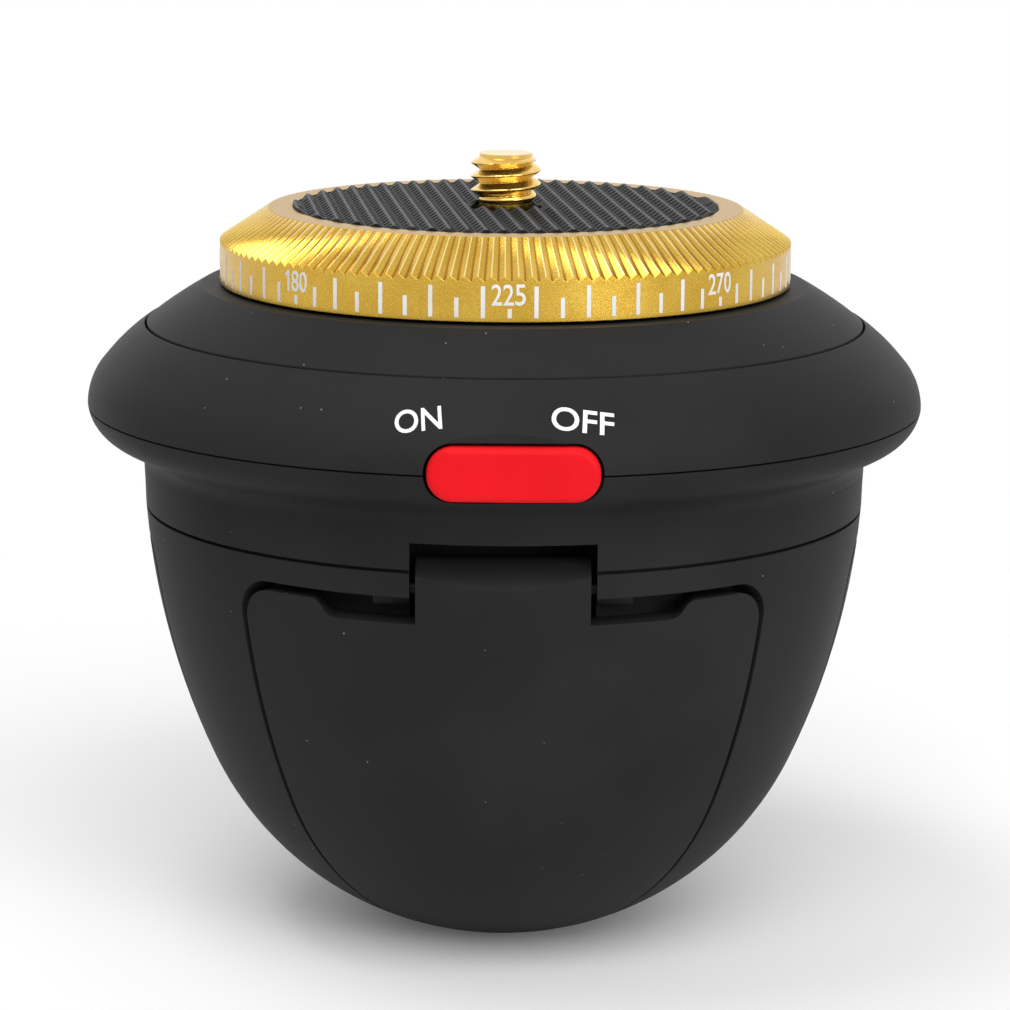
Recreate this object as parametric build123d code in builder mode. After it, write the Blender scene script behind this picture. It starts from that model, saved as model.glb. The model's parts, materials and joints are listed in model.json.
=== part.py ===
"""Motorized panoramic head: a small round turntable on a bowl whose three legs fold out.

Millimetres, +Z up, origin at the centre of the foot. The front, with the button, faces -Y.
"""
from build123d import *
import os
from math import acos, asin, cos, degrees, pi, radians, sin, sqrt, tan

os.makedirs("parts", exist_ok=True)

# General clearances
FIT = 0.02              # radial play of a part pressed or bonded into its seat
RUN = 0.05              # radial play of a shaft that turns in its hole
SLACK = 0.3             # play of a moulded part in its opening
WALL = 2.0              # moulded wall

# Bowl: a spherical underside that runs in tangent into a steep side
BOWL_RIM_R = 33.0       # widest radius of the side arc
BOWL_SIDE_ARC = 68.3    # radius of the side arc
BOWL_UNDER_STEP = 3.7   # radius of the underside arc, less than the widest radius
BOWL_POLE_R = 0.245     # distance of the underside arc's centre from the axis
FOOT_CUT = 0.75         # how much of the underside the flat foot takes off
SKIRT_DROP = 4.8        # seam between the bowl and the collar, below the widest radius
SKIRT_GROOVE = 0.3      # shadow groove at that seam
SKIRT_GROOVE_DEPTH = 0.6
CAVITY_INSET = 9.0      # hollow inside the bowl, from the widest radius

# Collar and flange
FLANGE_OVERHANG = 5.0
FLANGE_RUN = 2.7        # radial width of the rounded underside of the flange
FLANGE_DROP = 3.15      # its height
FLANGE_BULGE = 0.62     # how far that curve stands out from its chord
SEAM_RISE = 4.4         # parting seam at the flange's edge, above the bowl's widest radius
WAIST_FILLET = 2.2      # hollow where the flange runs into the collar
COLLAR_FLOOR = 3.7      # thickness of the collar's floor ring
COLLAR_BORE_GAP = 0.5   # bore of that ring, from the bowl's hollow
SEAM_GROOVE = 0.15
SEAM_GROOVE_DEPTH = 0.7
SPIGOT_T = 2.5          # ring on the bowl that centres the collar
SPIGOT_H = 1.6

# Upper housing and top cover
SHOULDER_RUN = 1.65     # the rounded flange, up to where it turns into the slope
SHOULDER_RISE = 4.0
SHOULDER_BULGE = 0.42
SLOPE_RUN = 3.45
SLOPE_RISE = 3.2
SLOPE_BULGE = 0.16
LEDGE_DEPTH = 1.6       # ledge that carries the cover, below the upper edge
LEDGE_W = 3.7
COVER_GAP = 0.22        # groove between housing and cover
COVER_LIP = 0.15        # step from the housing's edge up to the cover's
COVER_RUN = 5.3         # sloping part of the cover
COVER_RISE = 3.3
COVER_BULGE = 0.12
COVER_T = 1.8
COVER_RIM = 1.7         # radial width of the rim that stands on the ledge

# Button flat, rocker button and its switches
BUTTON_X = 0.8          # the button sits a little to the right of the middle
BUTTON_W = 14.4
BUTTON_H = 4.6
BUTTON_CORNER = 2.2
BUTTON_RISE = 0.07      # middle of the button above the seam
BUTTON_INSET = 0.05     # middle of its face inside the flange's edge
BUTTON_BOW_R = 80.0     # radius of its bowed face
BUTTON_EDGE = 0.6
BUTTON_DEPTH = 3.0
BUTTON_GAP = 0.25       # play round the button
FLAT_DEPTH = 0.4        # depth of the flat over the button, at the flange's edge
FLAT_LEAN = 12.4        # how far this flat leans back, in degrees
ROCK_SETBACK = 1.55     # rocking axis behind the button's back
TRUNNION_R = 0.8
TRUNNION_SEAT = 0.85    # depth of the trunnion holes
TRUNNION_PLAY = 0.1     # play at the trunnion's ends
STEM_W = 3.2
POST_R = 0.9            # posts that press the switches
POST_SPREAD = 5.0
SWITCH_W = 4.2
SWITCH_H = 3.2
SWITCH_T = 1.6
PLUNGER_R = 0.9
PLUNGER_T = 0.7
SWITCH_BOARD_W = 18.0
SWITCH_BOARD_T = 1.2
SWITCH_BOARD_GAP = 0.2  # gap over the board
SWITCH_SETBACK = 4.6    # front of the board behind the rocking axis

# Legs and hinges
LEG_COUNT = 3
LEG_HALF_ANGLE = 43.5
LEG_T = 2.8
LEG_GAP = 0.4           # play under and over a closed leg
LEG_SIDE_GAP = 1.0      # play beside it, in degrees
LEG_CORNER = 3.0
LEG_CORNER_GAP = 0.5
LEG_SKIN = 1.5          # skin left over the relief inside a leg
LEG_RIM_ANGLE = 4.0     # rim left beside that relief
LEG_RELIEF_LOW = 4.0
LEG_RELIEF_DROP = 8.9   # upper end of the relief, below the leg's top edge
LEG_RIB = 2.2           # rib between the two halves of the relief
LEG_TOP_DROP = 1.05     # top edge of the leg, below the hinge axis
PIVOT_DROP = 2.2        # hinge axis below the skirt seam
PIVOT_INSET = 3.84      # hinge axis inside the bowl's surface
BARREL_R = 2.8
KNUCKLE_W = 14.8
KNUCKLE_GAP = 0.5       # play beside the knuckle
KNUCKLE_BROW_R = 2.2    # rounding of the knuckle's upper front edge
KNUCKLE_PROUD = 0.1     # surplus in front, which the bowl's surface trims
KNUCKLE_DROP = 6.1      # where the knuckle has run out into the leg, below the axis
NOTCH_RISE = 2.35       # top of the notch over each knuckle, above the skirt seam
PIN_R = 0.75
PIN_INSET = 0.6         # ends of the pin inside the lugs
LUG_R = 1.35
LUG_W = 3.6
SHOULDER_CUT = 1.5      # cut-outs in the leg's top edge that clear the lugs and the rim
SHOULDER_CUT_GAP = 3.2
SHOULDER_CUT_RUN = 2.4

# Dial, pad and camera screw
DIAL_INSET = 1.7        # edge of the dial inside the cover's flat top
DIAL_GAP = 0.3          # running gap over the cover
DIAL_BAND_H = 3.83      # plain band under the teeth
DIAL_BEVEL_RUN = 4.4
DIAL_BEVEL_H = 2.87
DIAL_TEETH = 141
DIAL_TOOTH_H = 0.42     # height of the teeth on the band
DIAL_TOP_DEPTH = 0.12   # their depth at the rim
DIAL_RIM_W = 2.2        # flat rim round the pad
DIAL_WALL = 4.9
PAD_T = 1.3             # pad under the valleys of the ribs
PAD_SINK = 0.15         # these valleys below the rim
RIB_H = 0.5
RIB_PITCH = 1.525
RIB_ROUND = 0.2         # rounding of the ribs' crests and valleys
RIB_SKEW = 6.5          # ribs run from the back left to the front right
SCREW_R = 3.175         # 1/4 inch screw
SCREW_REACH = 4.5       # how far it stands out of the pad
SCREW_TIP = 0.7
SCREW_NECK_R = 3.0      # plain neck in the dial and the pad
SCREW_HEAD_R = 5.5
SCREW_HEAD_H = 3.0
SCREW_COLLAR_GAP = 0.1

# Spindle, bearing and gears
SPINDLE_WALL = 1.7      # wall round the camera screw's head
SPINDLE_BORE_R = 4.4
SPINDLE_END = 1.4       # length of the spindle below the bearing
SPINDLE_GAP = 0.7       # play of the spindle in the cover's hole
SPINDLE_FLANGE_T = 2.0
SPINDLE_FLANGE_RIM = 1.9
SPINDLE_FLANGE_LIFT = 0.25
CLIP_T = 0.8
CLIP_RIM = 1.5
CLIP_GROOVE = 0.6
CLIP_MOUTH = 5.0
BEARING_T = 4.5
BEARING_W = 5.0
RACE_T = 1.4
BALL_COUNT = 12
BALL_PLAY = 0.05
CAGE_T = 0.5
CAGE_W = 3.2
CAGE_POCKET = 0.1
CHASSIS_T = 2.0
CHASSIS_GAP = 0.05
BEARING_LIP = 1.0
BEARING_LIP_W = 0.8
BEARING_BOSS_T = 1.8
MODULE = 0.6
GEAR_TEETH = 44
PINION_TEETH = 11
GEAR_W = 4.0
GEAR_HEADROOM = 0.65    # gap between the gear and the cover
GEAR_HUB = 0.5          # hub between the gear and the bearing
GEAR_HUB_RIM = 1.2
TOOTH_SHARE = 0.44      # tooth thickness on the pitch circle, as a share of the pitch
ADDENDUM = 0.9          # in modules
DEDENDUM = 1.25
PRESSURE_ANGLE = 20.0

# Motor, battery and boards
MOTOR_W = 12.0
MOTOR_D = 10.0
GEARBOX_H = 9.0
CAN_H = 15.0
END_CAP_R = 4.5
END_CAP_H = 1.2
SHAFT_R = 1.5
SHAFT_SUNK = 2.0
SHAFT_HOLE_R = 2.2
MOTOR_SCREW_MARGIN = 1.7
BATTERY_R = 8.2
BATTERY_TERMINAL_R = 3.0
BATTERY_TERMINAL_H = 0.6
BATTERY_PAD_T = 1.5
BATTERY_RING_T = 1.2
BATTERY_RING_H = 6.0
RECESS_WALL = 1.8       # wall left behind the leg recesses
BOARD_GAP = 1.0         # edge of the board inside the collar
BOARD_T = 1.2
BOARD_PLAY = 0.6        # play of the board round what passes through it
CHIP_SPOTS = ((-14.0, -7.0), (14.0, -5.0), (12.0, 9.0))
CHIP_SIZES = ((5.0, 5.0, 1.0), (4.0, 5.0, 1.0), (3.0, 3.0, 0.8))
SOCKET_W = 8.94
SOCKET_H = 3.16
SOCKET_D = 7.35
SOCKET_WALL = 0.3
SOCKET_BACK = 1.5       # block behind the socket's hollow
TONGUE_W = 6.7          # contact tongue in the socket
TONGUE_T = 0.7
SOCKET_SETBACK = 1.3    # how far the socket's mouth lies inside the flange's foot
SOCKET_CLEARANCE = 0.25

# Fasteners and tripod bush
SCREW_SHANK_R = 0.9
SCREW_PLAY = 0.15
HEAD_R = 1.4
HEAD_H = 1.2
POST_INSET = 5.0        # screw posts inside the bowl's widest radius
POST_OUTER_R = 2.5
POST_ANGLES = (40.0, 140.0, 220.0, 320.0)
BASE_SCREW_INSET = 2.1  # base screws inside the bowl's widest radius
BASE_SCREW_MARGIN = 8.5  # and inside the leg's side edge, in degrees
BOARD_SCREW_INSET = 3.0
BOARD_SCREW_ANGLES = (0.0, 180.0)
DIAL_SCREW_INSET = 1.8  # dial screws outside the spindle
DIAL_SCREW_COUNT = 4
BUSH_R = 5.0
BUSH_H = 6.5
BUSH_BORE_R = 2.6       # minor radius of the 1/4 inch thread
BUSH_MOUTH = 0.5
FOOT_WALL = 2.4         # boss round the bush
FOOT_FLOOR = 1.5        # floor over it

# Bowl, worked out from the values above
BOWL_UNDER_ARC = BOWL_RIM_R - BOWL_UNDER_STEP
KNEE_COS = (BOWL_SIDE_ARC - BOWL_RIM_R + BOWL_POLE_R) / (BOWL_SIDE_ARC - BOWL_UNDER_ARC)
BOWL_KNEE_ANGLE = degrees(acos(KNEE_COS))
KNEE = (KNEE_COS, -sin(radians(BOWL_KNEE_ANGLE)))
BOWL_EQUATOR_Z = BOWL_UNDER_ARC - FOOT_CUT - (BOWL_SIDE_ARC - BOWL_UNDER_ARC) * KNEE[1]
SIDE_CENTER = (BOWL_RIM_R - BOWL_SIDE_ARC, BOWL_EQUATOR_Z)
UNDER_CENTER = tuple(c + (BOWL_SIDE_ARC - BOWL_UNDER_ARC) * k for c, k in zip(SIDE_CENTER, KNEE))
SKIRT_Z = BOWL_EQUATOR_Z - SKIRT_DROP
CAVITY_R = BOWL_RIM_R - CAVITY_INSET
FOOT_BOSS_R = BUSH_R + FOOT_WALL
BATTERY_FLOOR_Z = BUSH_H + FOOT_FLOOR

# Housing, worked out
FLANGE_R = BOWL_RIM_R + FLANGE_OVERHANG
REACH = 2 * FLANGE_R
SEAM_Z = BOWL_EQUATOR_Z + SEAM_RISE
COLLAR_BORE_R = CAVITY_R + COLLAR_BORE_GAP
COLLAR_FLOOR_Z = SKIRT_Z + COLLAR_FLOOR
SPIGOT_R = CAVITY_R + SPIGOT_T
SHOULDER_R = FLANGE_R - SHOULDER_RUN
SHOULDER_Z = SEAM_Z + SHOULDER_RISE
SLOPE_R = SHOULDER_R - SLOPE_RUN
SLOPE_Z = SHOULDER_Z + SLOPE_RISE
LEDGE_R = SLOPE_R - LEDGE_W
LEDGE_Z = SLOPE_Z - LEDGE_DEPTH
COVER_FLAT_R = SLOPE_R - COVER_RUN
COVER_EDGE_Z = SLOPE_Z + COVER_LIP
COVER_TOP_Z = COVER_EDGE_Z + COVER_RISE

# Button and switches, worked out
BUTTON_Z = SEAM_Z + BUTTON_RISE
FLAT_Y = FLANGE_R - FLAT_DEPTH
BUTTON_FACE_Y = FLANGE_R - BUTTON_INSET
BUTTON_BACK_Y = BUTTON_FACE_Y - BUTTON_DEPTH
ROCK_Y = BUTTON_BACK_Y - ROCK_SETBACK
SWITCH_BOARD_Y = ROCK_Y - SWITCH_SETBACK
SWITCH_BOARD_TOP = LEDGE_Z - WALL - SWITCH_BOARD_GAP
PLUNGER_TIP_Y = SWITCH_BOARD_Y + SWITCH_T + PLUNGER_T
OPENING_W = BUTTON_W + 2 * BUTTON_GAP
OPENING_H = BUTTON_H + 2 * BUTTON_GAP
OPENING_LOW_Z = BUTTON_Z - OPENING_H / 2

# Legs, worked out
LEG_TURNS = {"leg_front": 0.0, "leg_right": 360.0 / LEG_COUNT, "leg_left": -360.0 / LEG_COUNT}
LEG_TIP_R = FOOT_BOSS_R + LEG_GAP
PIVOT_Z = SKIRT_Z - PIVOT_DROP
LEG_TOP_Z = PIVOT_Z - LEG_TOP_DROP
LEG_RELIEF_HIGH = LEG_TOP_Z - LEG_RELIEF_DROP
RECESS_TOP_Z = LEG_TOP_Z + 2 * LEG_GAP
RECESS_DEPTH = LEG_T + LEG_GAP
RECESS_HALF_ANGLE = LEG_HALF_ANGLE + LEG_SIDE_GAP
RECESS_CORNER = LEG_CORNER + LEG_CORNER_GAP
KNUCKLE_ROOT_Z = PIVOT_Z - KNUCKLE_DROP
NOTCH_TOP_Z = SKIRT_Z + NOTCH_RISE
POCKET_HALF = KNUCKLE_W / 2 + KNUCKLE_GAP
LUG_END = KNUCKLE_W / 2 + LUG_W
PIN_LENGTH = 2 * (LUG_END - PIN_INSET)
SHOULDER_CUT_Z = LEG_TOP_Z - SHOULDER_CUT
SHOULDER_CUT_IN = LUG_END + SHOULDER_CUT_GAP
SHOULDER_CUT_OUT = SHOULDER_CUT_IN + SHOULDER_CUT_RUN

# Dial, pad and camera screw, worked out
DIAL_R = COVER_FLAT_R - DIAL_INSET
DIAL_RIM_R = DIAL_R - DIAL_BEVEL_RUN
DIAL_HOLLOW_R = DIAL_R - DIAL_WALL
PAD_R = DIAL_RIM_R - DIAL_RIM_W
DIAL_Z = COVER_TOP_Z + DIAL_GAP
DIAL_CREST_Z = DIAL_Z + DIAL_BAND_H
DIAL_VALLEY_Z = DIAL_CREST_Z - DIAL_TOOTH_H
DIAL_TOP_Z = DIAL_CREST_Z + DIAL_BEVEL_H
PAD_VALLEY_Z = DIAL_TOP_Z - PAD_SINK
PAD_TOP_Z = PAD_VALLEY_Z + RIB_H
PAD_FLOOR_Z = PAD_VALLEY_Z - PAD_T
DIAL_WEB_Z = DIAL_Z + SPINDLE_FLANGE_LIFT + SPINDLE_FLANGE_T
DIAL_WEB = PAD_FLOOR_Z - DIAL_WEB_Z
HEAD_POCKET_Z = DIAL_WEB_Z - SCREW_HEAD_H
SCREW_TOP_Z = PAD_TOP_Z + SCREW_REACH

# Drive, worked out
SPINDLE_R = SCREW_HEAD_R + SLACK + SPINDLE_WALL
DIAL_SCREW_R = SPINDLE_R + DIAL_SCREW_INSET
SPINDLE_FLANGE_R = DIAL_SCREW_R + SPINDLE_FLANGE_RIM
CLIP_R = SPINDLE_R + CLIP_RIM
COVER_HOLE_R = SPINDLE_R + SPINDLE_GAP
BEARING_R = SPINDLE_R + BEARING_T
BEARING_LIP_R = BEARING_R - BEARING_LIP_W
BEARING_BOSS_R = BEARING_R + BEARING_BOSS_T
INNER_RACE_R = SPINDLE_R + FIT + RACE_T
OUTER_RACE_R = BEARING_R - RACE_T
BALL_CIRCLE_R = (INNER_RACE_R + OUTER_RACE_R) / 2
BALL_R = (OUTER_RACE_R - INNER_RACE_R) / 2 - BALL_PLAY
GEAR_HUB_R = SPINDLE_R + GEAR_HUB_RIM
GEAR_DISTANCE = MODULE * (GEAR_TEETH + PINION_TEETH) / 2
GEAR_Z = COVER_TOP_Z - COVER_T - GEAR_HEADROOM - GEAR_W
BEARING_TOP_Z = GEAR_Z - GEAR_HUB
BEARING_Z = BEARING_TOP_Z - BEARING_W
CHASSIS_Z = BEARING_Z - BEARING_LIP
CHASSIS_TOP_Z = CHASSIS_Z + CHASSIS_T
CHASSIS_R = BOWL_RIM_R - WALL - CHASSIS_GAP
MOTOR_SCREW_X = MOTOR_W / 2 - MOTOR_SCREW_MARGIN

# Battery, boards and screws, worked out
BATTERY_TOP_Z = COLLAR_FLOOR_Z - BATTERY_PAD_T
BATTERY_H = BATTERY_TOP_Z - BATTERY_FLOOR_Z
BOARD_R = BOWL_RIM_R - WALL - BOARD_GAP
BOARD_TOP_Z = COLLAR_FLOOR_Z + BOARD_T
SOCKET_Z = BOARD_TOP_Z + SOCKET_H / 2
SOCKET_MOUTH_Y = FLANGE_R - FLANGE_RUN - SOCKET_SETBACK
POST_CIRCLE_R = BOWL_RIM_R - POST_INSET
BASE_SCREW_R = BOWL_RIM_R - BASE_SCREW_INSET
BASE_SCREW_ANGLE = LEG_HALF_ANGLE - BASE_SCREW_MARGIN
BASE_SCREW_SEAT_Z = RECESS_TOP_Z + HEAD_H + SCREW_PLAY
BASE_SCREW_L = COLLAR_FLOOR_Z - SCREW_PLAY - BASE_SCREW_SEAT_Z
BOARD_SCREW_R = BOARD_R - BOARD_SCREW_INSET
BOARD_SCREW_L = COLLAR_FLOOR - SPIGOT_H - 2 * SCREW_PLAY
DIAL_SCREW_L = SPINDLE_FLANGE_T - HEAD_H + DIAL_WEB - SCREW_PLAY


def bulged(start: tuple, end: tuple, bulge: float) -> tuple:
    """Three points of an arc from start to end that stands out by bulge, to the right of the way."""
    dx, dz = end[0] - start[0], end[1] - start[1]
    length = sqrt(dx * dx + dz * dz)
    middle = ((start[0] + end[0]) / 2 + bulge * dz / length, (start[1] + end[1]) / 2 - bulge * dx / length)
    return start, middle, end


def bowl_radius(height: float, inset: float = 0.0) -> float:
    """Radius of the bowl's steep side at a height."""
    arc = BOWL_SIDE_ARC - inset
    return SIDE_CENTER[0] + sqrt(arc * arc - (height - SIDE_CENTER[1]) ** 2)


def bowl_solid(inset: float, top: float = SKIRT_Z) -> Part:
    """The solid inside the bowl's surface, moved inwards by inset, up to a height."""
    side = BOWL_SIDE_ARC - inset
    under = BOWL_UNDER_ARC - inset
    rise = degrees(asin((top - SIDE_CENTER[1]) / side))
    pole = UNDER_CENTER[1] - under
    with BuildPart() as bowl:
        with BuildSketch(Plane.XZ):
            with BuildLine():
                CenterArc(UNDER_CENTER, under, -90, 90 - BOWL_KNEE_ANGLE)
                CenterArc(SIDE_CENTER, side, -BOWL_KNEE_ANGLE, BOWL_KNEE_ANGLE + rise)
                Polyline((bowl_radius(top, inset), top), (0, top), (0, pole), (UNDER_CENTER[0], pole))
            make_face()
        revolve(axis=Axis.Z)
    return bowl.part


def bowl_sector(
    outer: float, inner: float, half_angle: float, low: float, high: float, corner: float
) -> Part:
    """A slice of the bowl between two insets that faces the front, its upper corners rounded."""
    slope = tan(radians(half_angle))
    with BuildPart() as sector:
        add(bowl_solid(outer))
        add(bowl_solid(inner), mode=Mode.SUBTRACT)
        with BuildSketch(Plane.XY.offset(low)):
            with BuildLine():
                Polyline((0, 0), (-REACH * slope, -REACH), (REACH * slope, -REACH), close=True)
            make_face()
        extrude(amount=high - low, mode=Mode.INTERSECT)
        top_face = sector.faces().filter_by(Plane.XY).sort_by(Axis.Z)[-1]
        fillet(top_face.edges().filter_by(GeomType.LINE), corner)
    return sector.part


def gear_outline(teeth: int, phase: float) -> list:
    """Corners of a spur gear: each flank runs through the root, the pitch circle and the tip."""
    pitch_r = MODULE * teeth / 2
    base_r = pitch_r * cos(radians(PRESSURE_ANGLE))
    radii = (pitch_r - DEDENDUM * MODULE, pitch_r, pitch_r + ADDENDUM * MODULE)
    half_tooth = TOOTH_SHARE * pi / teeth

    def involute(radius: float) -> float:
        lean = sqrt(max(radius * radius / (base_r * base_r) - 1.0, 0.0))
        return lean - (pi / 2 - asin(1 / sqrt(1 + lean * lean)))

    at_pitch = involute(pitch_r)
    halves = [half_tooth + at_pitch - involute(radius) for radius in radii]
    flank = list(zip(radii, halves))
    corners = []
    for tooth in range(teeth):
        middle = phase + 2 * pi * tooth / teeth
        corners += [(r * cos(middle - h), r * sin(middle - h)) for r, h in flank]
        corners += [(r * cos(middle + h), r * sin(middle + h)) for r, h in reversed(flank)]
    return corners


def star(crest: float, valley: float, teeth: int) -> list:
    """Corners of a toothed ring, a crest facing the front."""
    corners = []
    for step in range(2 * teeth):
        radius = valley if step % 2 else crest
        angle = -pi / 2 + pi * step / teeth
        corners.append((radius * cos(angle), radius * sin(angle)))
    return corners


def finish(builder: BuildPart, name: str) -> None:
    """Labels a finished piece and writes it."""
    builder.part.label = name
    export_step(builder.part, f"parts/{name}.step")


def screw_set(name: str, spots: list, seat_z: float, length: float, upward: bool) -> None:
    """A set of round-headed screws that stand at spots, their heads seated on seat_z."""
    way = 1 if upward else -1
    with BuildPart() as screws:
        with BuildSketch(Plane.XY.offset(seat_z)):
            with Locations(*spots):
                Circle(HEAD_R)
        extrude(amount=-way * HEAD_H)
        with BuildSketch(Plane.XY.offset(seat_z)):
            with Locations(*spots):
                Circle(SCREW_SHANK_R)
        extrude(amount=way * length)
    finish(screws, name)


def on_circle(radius: float, angles: tuple) -> list:
    """Points on a circle about the main axis."""
    return [(radius * cos(radians(angle)), radius * sin(radians(angle))) for angle in angles]


# Hinge axis and places of the screws
PIVOT_R = bowl_radius(PIVOT_Z) - PIVOT_INSET
POCKET_BACK_Y = PIVOT_R - BARREL_R - LEG_GAP
base_spots = on_circle(
    BASE_SCREW_R,
    tuple(turn - 90 + side * BASE_SCREW_ANGLE for turn in LEG_TURNS.values() for side in (-1, 1)),
)
post_spots = on_circle(POST_CIRCLE_R, POST_ANGLES)
board_spots = on_circle(BOARD_SCREW_R, BOARD_SCREW_ANGLES)
dial_spots = on_circle(
    DIAL_SCREW_R,
    tuple(step * 360.0 / DIAL_SCREW_COUNT for step in range(DIAL_SCREW_COUNT)),
)
motor_spots = [(-MOTOR_SCREW_X, GEAR_DISTANCE), (MOTOR_SCREW_X, GEAR_DISTANCE)]

# Shapes shared by the bowl and the legs
bowl = bowl_solid(0.0)
barrel_top = PIVOT_Z + BARREL_R + LEG_GAP

with BuildPart() as leg_recess:
    add(bowl_sector(-LEG_GAP, RECESS_DEPTH, RECESS_HALF_ANGLE, -REACH, RECESS_TOP_Z, RECESS_CORNER))
    Cylinder(FOOT_BOSS_R, SKIRT_Z, mode=Mode.SUBTRACT)

with BuildPart() as hinge_lugs:
    with BuildSketch(Plane.YZ):
        with Locations((-PIVOT_R, PIVOT_Z)):
            Circle(LUG_R)
    extrude(amount=LUG_END, both=True)
    add(bowl_solid(LEG_GAP), mode=Mode.INTERSECT)

with BuildPart() as knuckle_pocket:
    with BuildSketch(Plane.XY.offset(KNUCKLE_ROOT_Z - LEG_T / 2 - LEG_GAP)):
        with Locations((0, -POCKET_BACK_Y)):
            Rectangle(2 * POCKET_HALF, REACH, align=(Align.CENTER, Align.MAX))
    extrude(amount=NOTCH_TOP_Z - KNUCKLE_ROOT_Z + LEG_T / 2 + LEG_GAP)

with BuildPart() as pin_bore:
    with BuildSketch(Plane.YZ):
        with Locations((-PIVOT_R, PIVOT_Z)):
            Circle(PIN_R + FIT)
    extrude(amount=PIN_LENGTH / 2 + FIT, both=True)

with BuildPart() as cavity:
    add(bowl_solid(RECESS_DEPTH + RECESS_WALL, SKIRT_Z))
    with BuildSketch(Plane.XY.offset(BATTERY_FLOOR_Z)):
        Circle(CAVITY_R)
    extrude(amount=SKIRT_Z - BATTERY_FLOOR_Z, mode=Mode.INTERSECT)

with BuildPart() as motor_bay:
    with Locations((0, GEAR_DISTANCE, CHASSIS_Z)):
        Box(
            MOTOR_W + 2 * BOARD_PLAY,
            MOTOR_D + 2 * BOARD_PLAY,
            GEARBOX_H + CAN_H + END_CAP_H + BOARD_PLAY,
            align=(Align.CENTER, Align.CENTER, Align.MAX),
        )

# Base shell
with BuildPart() as base_shell:
    add(bowl)
    split(bisect_by=Plane.XY, keep=Keep.TOP)
    with BuildSketch(Plane.XY.offset(SKIRT_Z)):
        Circle(SPIGOT_R)
    extrude(amount=SPIGOT_H)
    with BuildSketch(Plane.XY.offset(SKIRT_Z)):
        Circle(CAVITY_R)
    extrude(amount=SPIGOT_H, mode=Mode.SUBTRACT)
    add(cavity.part, mode=Mode.SUBTRACT)
    add(motor_bay.part, mode=Mode.SUBTRACT)
    with BuildSketch(Plane.XY.offset(SKIRT_Z)):
        Circle(REACH)
        Circle(bowl_radius(SKIRT_Z) - SKIRT_GROOVE_DEPTH, mode=Mode.SUBTRACT)
    extrude(amount=-SKIRT_GROOVE, mode=Mode.SUBTRACT)
    with BuildSketch(Plane.XY.offset(BATTERY_FLOOR_Z)):
        Circle(BATTERY_R + SLACK / 2 + BATTERY_RING_T)
        Circle(BATTERY_R + SLACK / 2, mode=Mode.SUBTRACT)
    extrude(amount=BATTERY_RING_H)
    for turn in LEG_TURNS.values():
        add(leg_recess.part, rotation=(0, 0, turn), mode=Mode.SUBTRACT)
        add(hinge_lugs.part, rotation=(0, 0, turn))
        add(knuckle_pocket.part, rotation=(0, 0, turn), mode=Mode.SUBTRACT)
        add(pin_bore.part, rotation=(0, 0, turn), mode=Mode.SUBTRACT)
    with BuildSketch():
        Circle(BUSH_R + FIT)
    extrude(amount=BUSH_H, mode=Mode.SUBTRACT)
    with BuildSketch(Plane.XY.offset(RECESS_TOP_Z)):
        with Locations(*base_spots):
            Circle(SCREW_SHANK_R + SCREW_PLAY)
    extrude(amount=SKIRT_Z - RECESS_TOP_Z, mode=Mode.SUBTRACT)
    with BuildSketch(Plane.XY.offset(RECESS_TOP_Z)):
        with Locations(*base_spots):
            Circle(HEAD_R + SCREW_PLAY)
    extrude(amount=HEAD_H + SCREW_PLAY, mode=Mode.SUBTRACT)
finish(base_shell, "base_shell")

# Tripod bush in the foot
with BuildPart() as tripod_bush:
    Cylinder(BUSH_R, BUSH_H, align=(Align.CENTER, Align.CENTER, Align.MIN))
    Cylinder(BUSH_BORE_R, BUSH_H, align=(Align.CENTER, Align.CENTER, Align.MIN), mode=Mode.SUBTRACT)
    mouth = tripod_bush.edges().filter_by(GeomType.CIRCLE).group_by(Axis.Z)[0].sort_by(SortBy.RADIUS)[0]
    chamfer(mouth, BUSH_MOUTH)
finish(tripod_bush, "tripod_bush")

# Legs
with BuildPart() as leg_relief:
    relief_half = LEG_HALF_ANGLE - LEG_RIM_ANGLE
    add(bowl_sector(LEG_SKIN, RECESS_DEPTH, relief_half, LEG_RELIEF_LOW, LEG_RELIEF_HIGH, LEG_CORNER))
    Box(LEG_RIB, 2 * REACH, 2 * REACH, mode=Mode.SUBTRACT)

with BuildPart() as knuckle:
    root_r = bowl_radius(KNUCKLE_ROOT_Z) - LEG_T / 2 + KNUCKLE_PROUD
    brow_r = bowl_radius(PIVOT_Z) - KNUCKLE_BROW_R + KNUCKLE_PROUD
    with BuildSketch(Plane.YZ):
        with Locations((-PIVOT_R, PIVOT_Z)):
            Circle(BARREL_R)
        with Locations((-brow_r, PIVOT_Z)):
            Circle(KNUCKLE_BROW_R)
        with Locations((-root_r, KNUCKLE_ROOT_Z)):
            Circle(LEG_T / 2)
        make_hull()
    extrude(amount=KNUCKLE_W / 2, both=True)
    add(bowl_solid(0.0, barrel_top), mode=Mode.INTERSECT)

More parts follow.
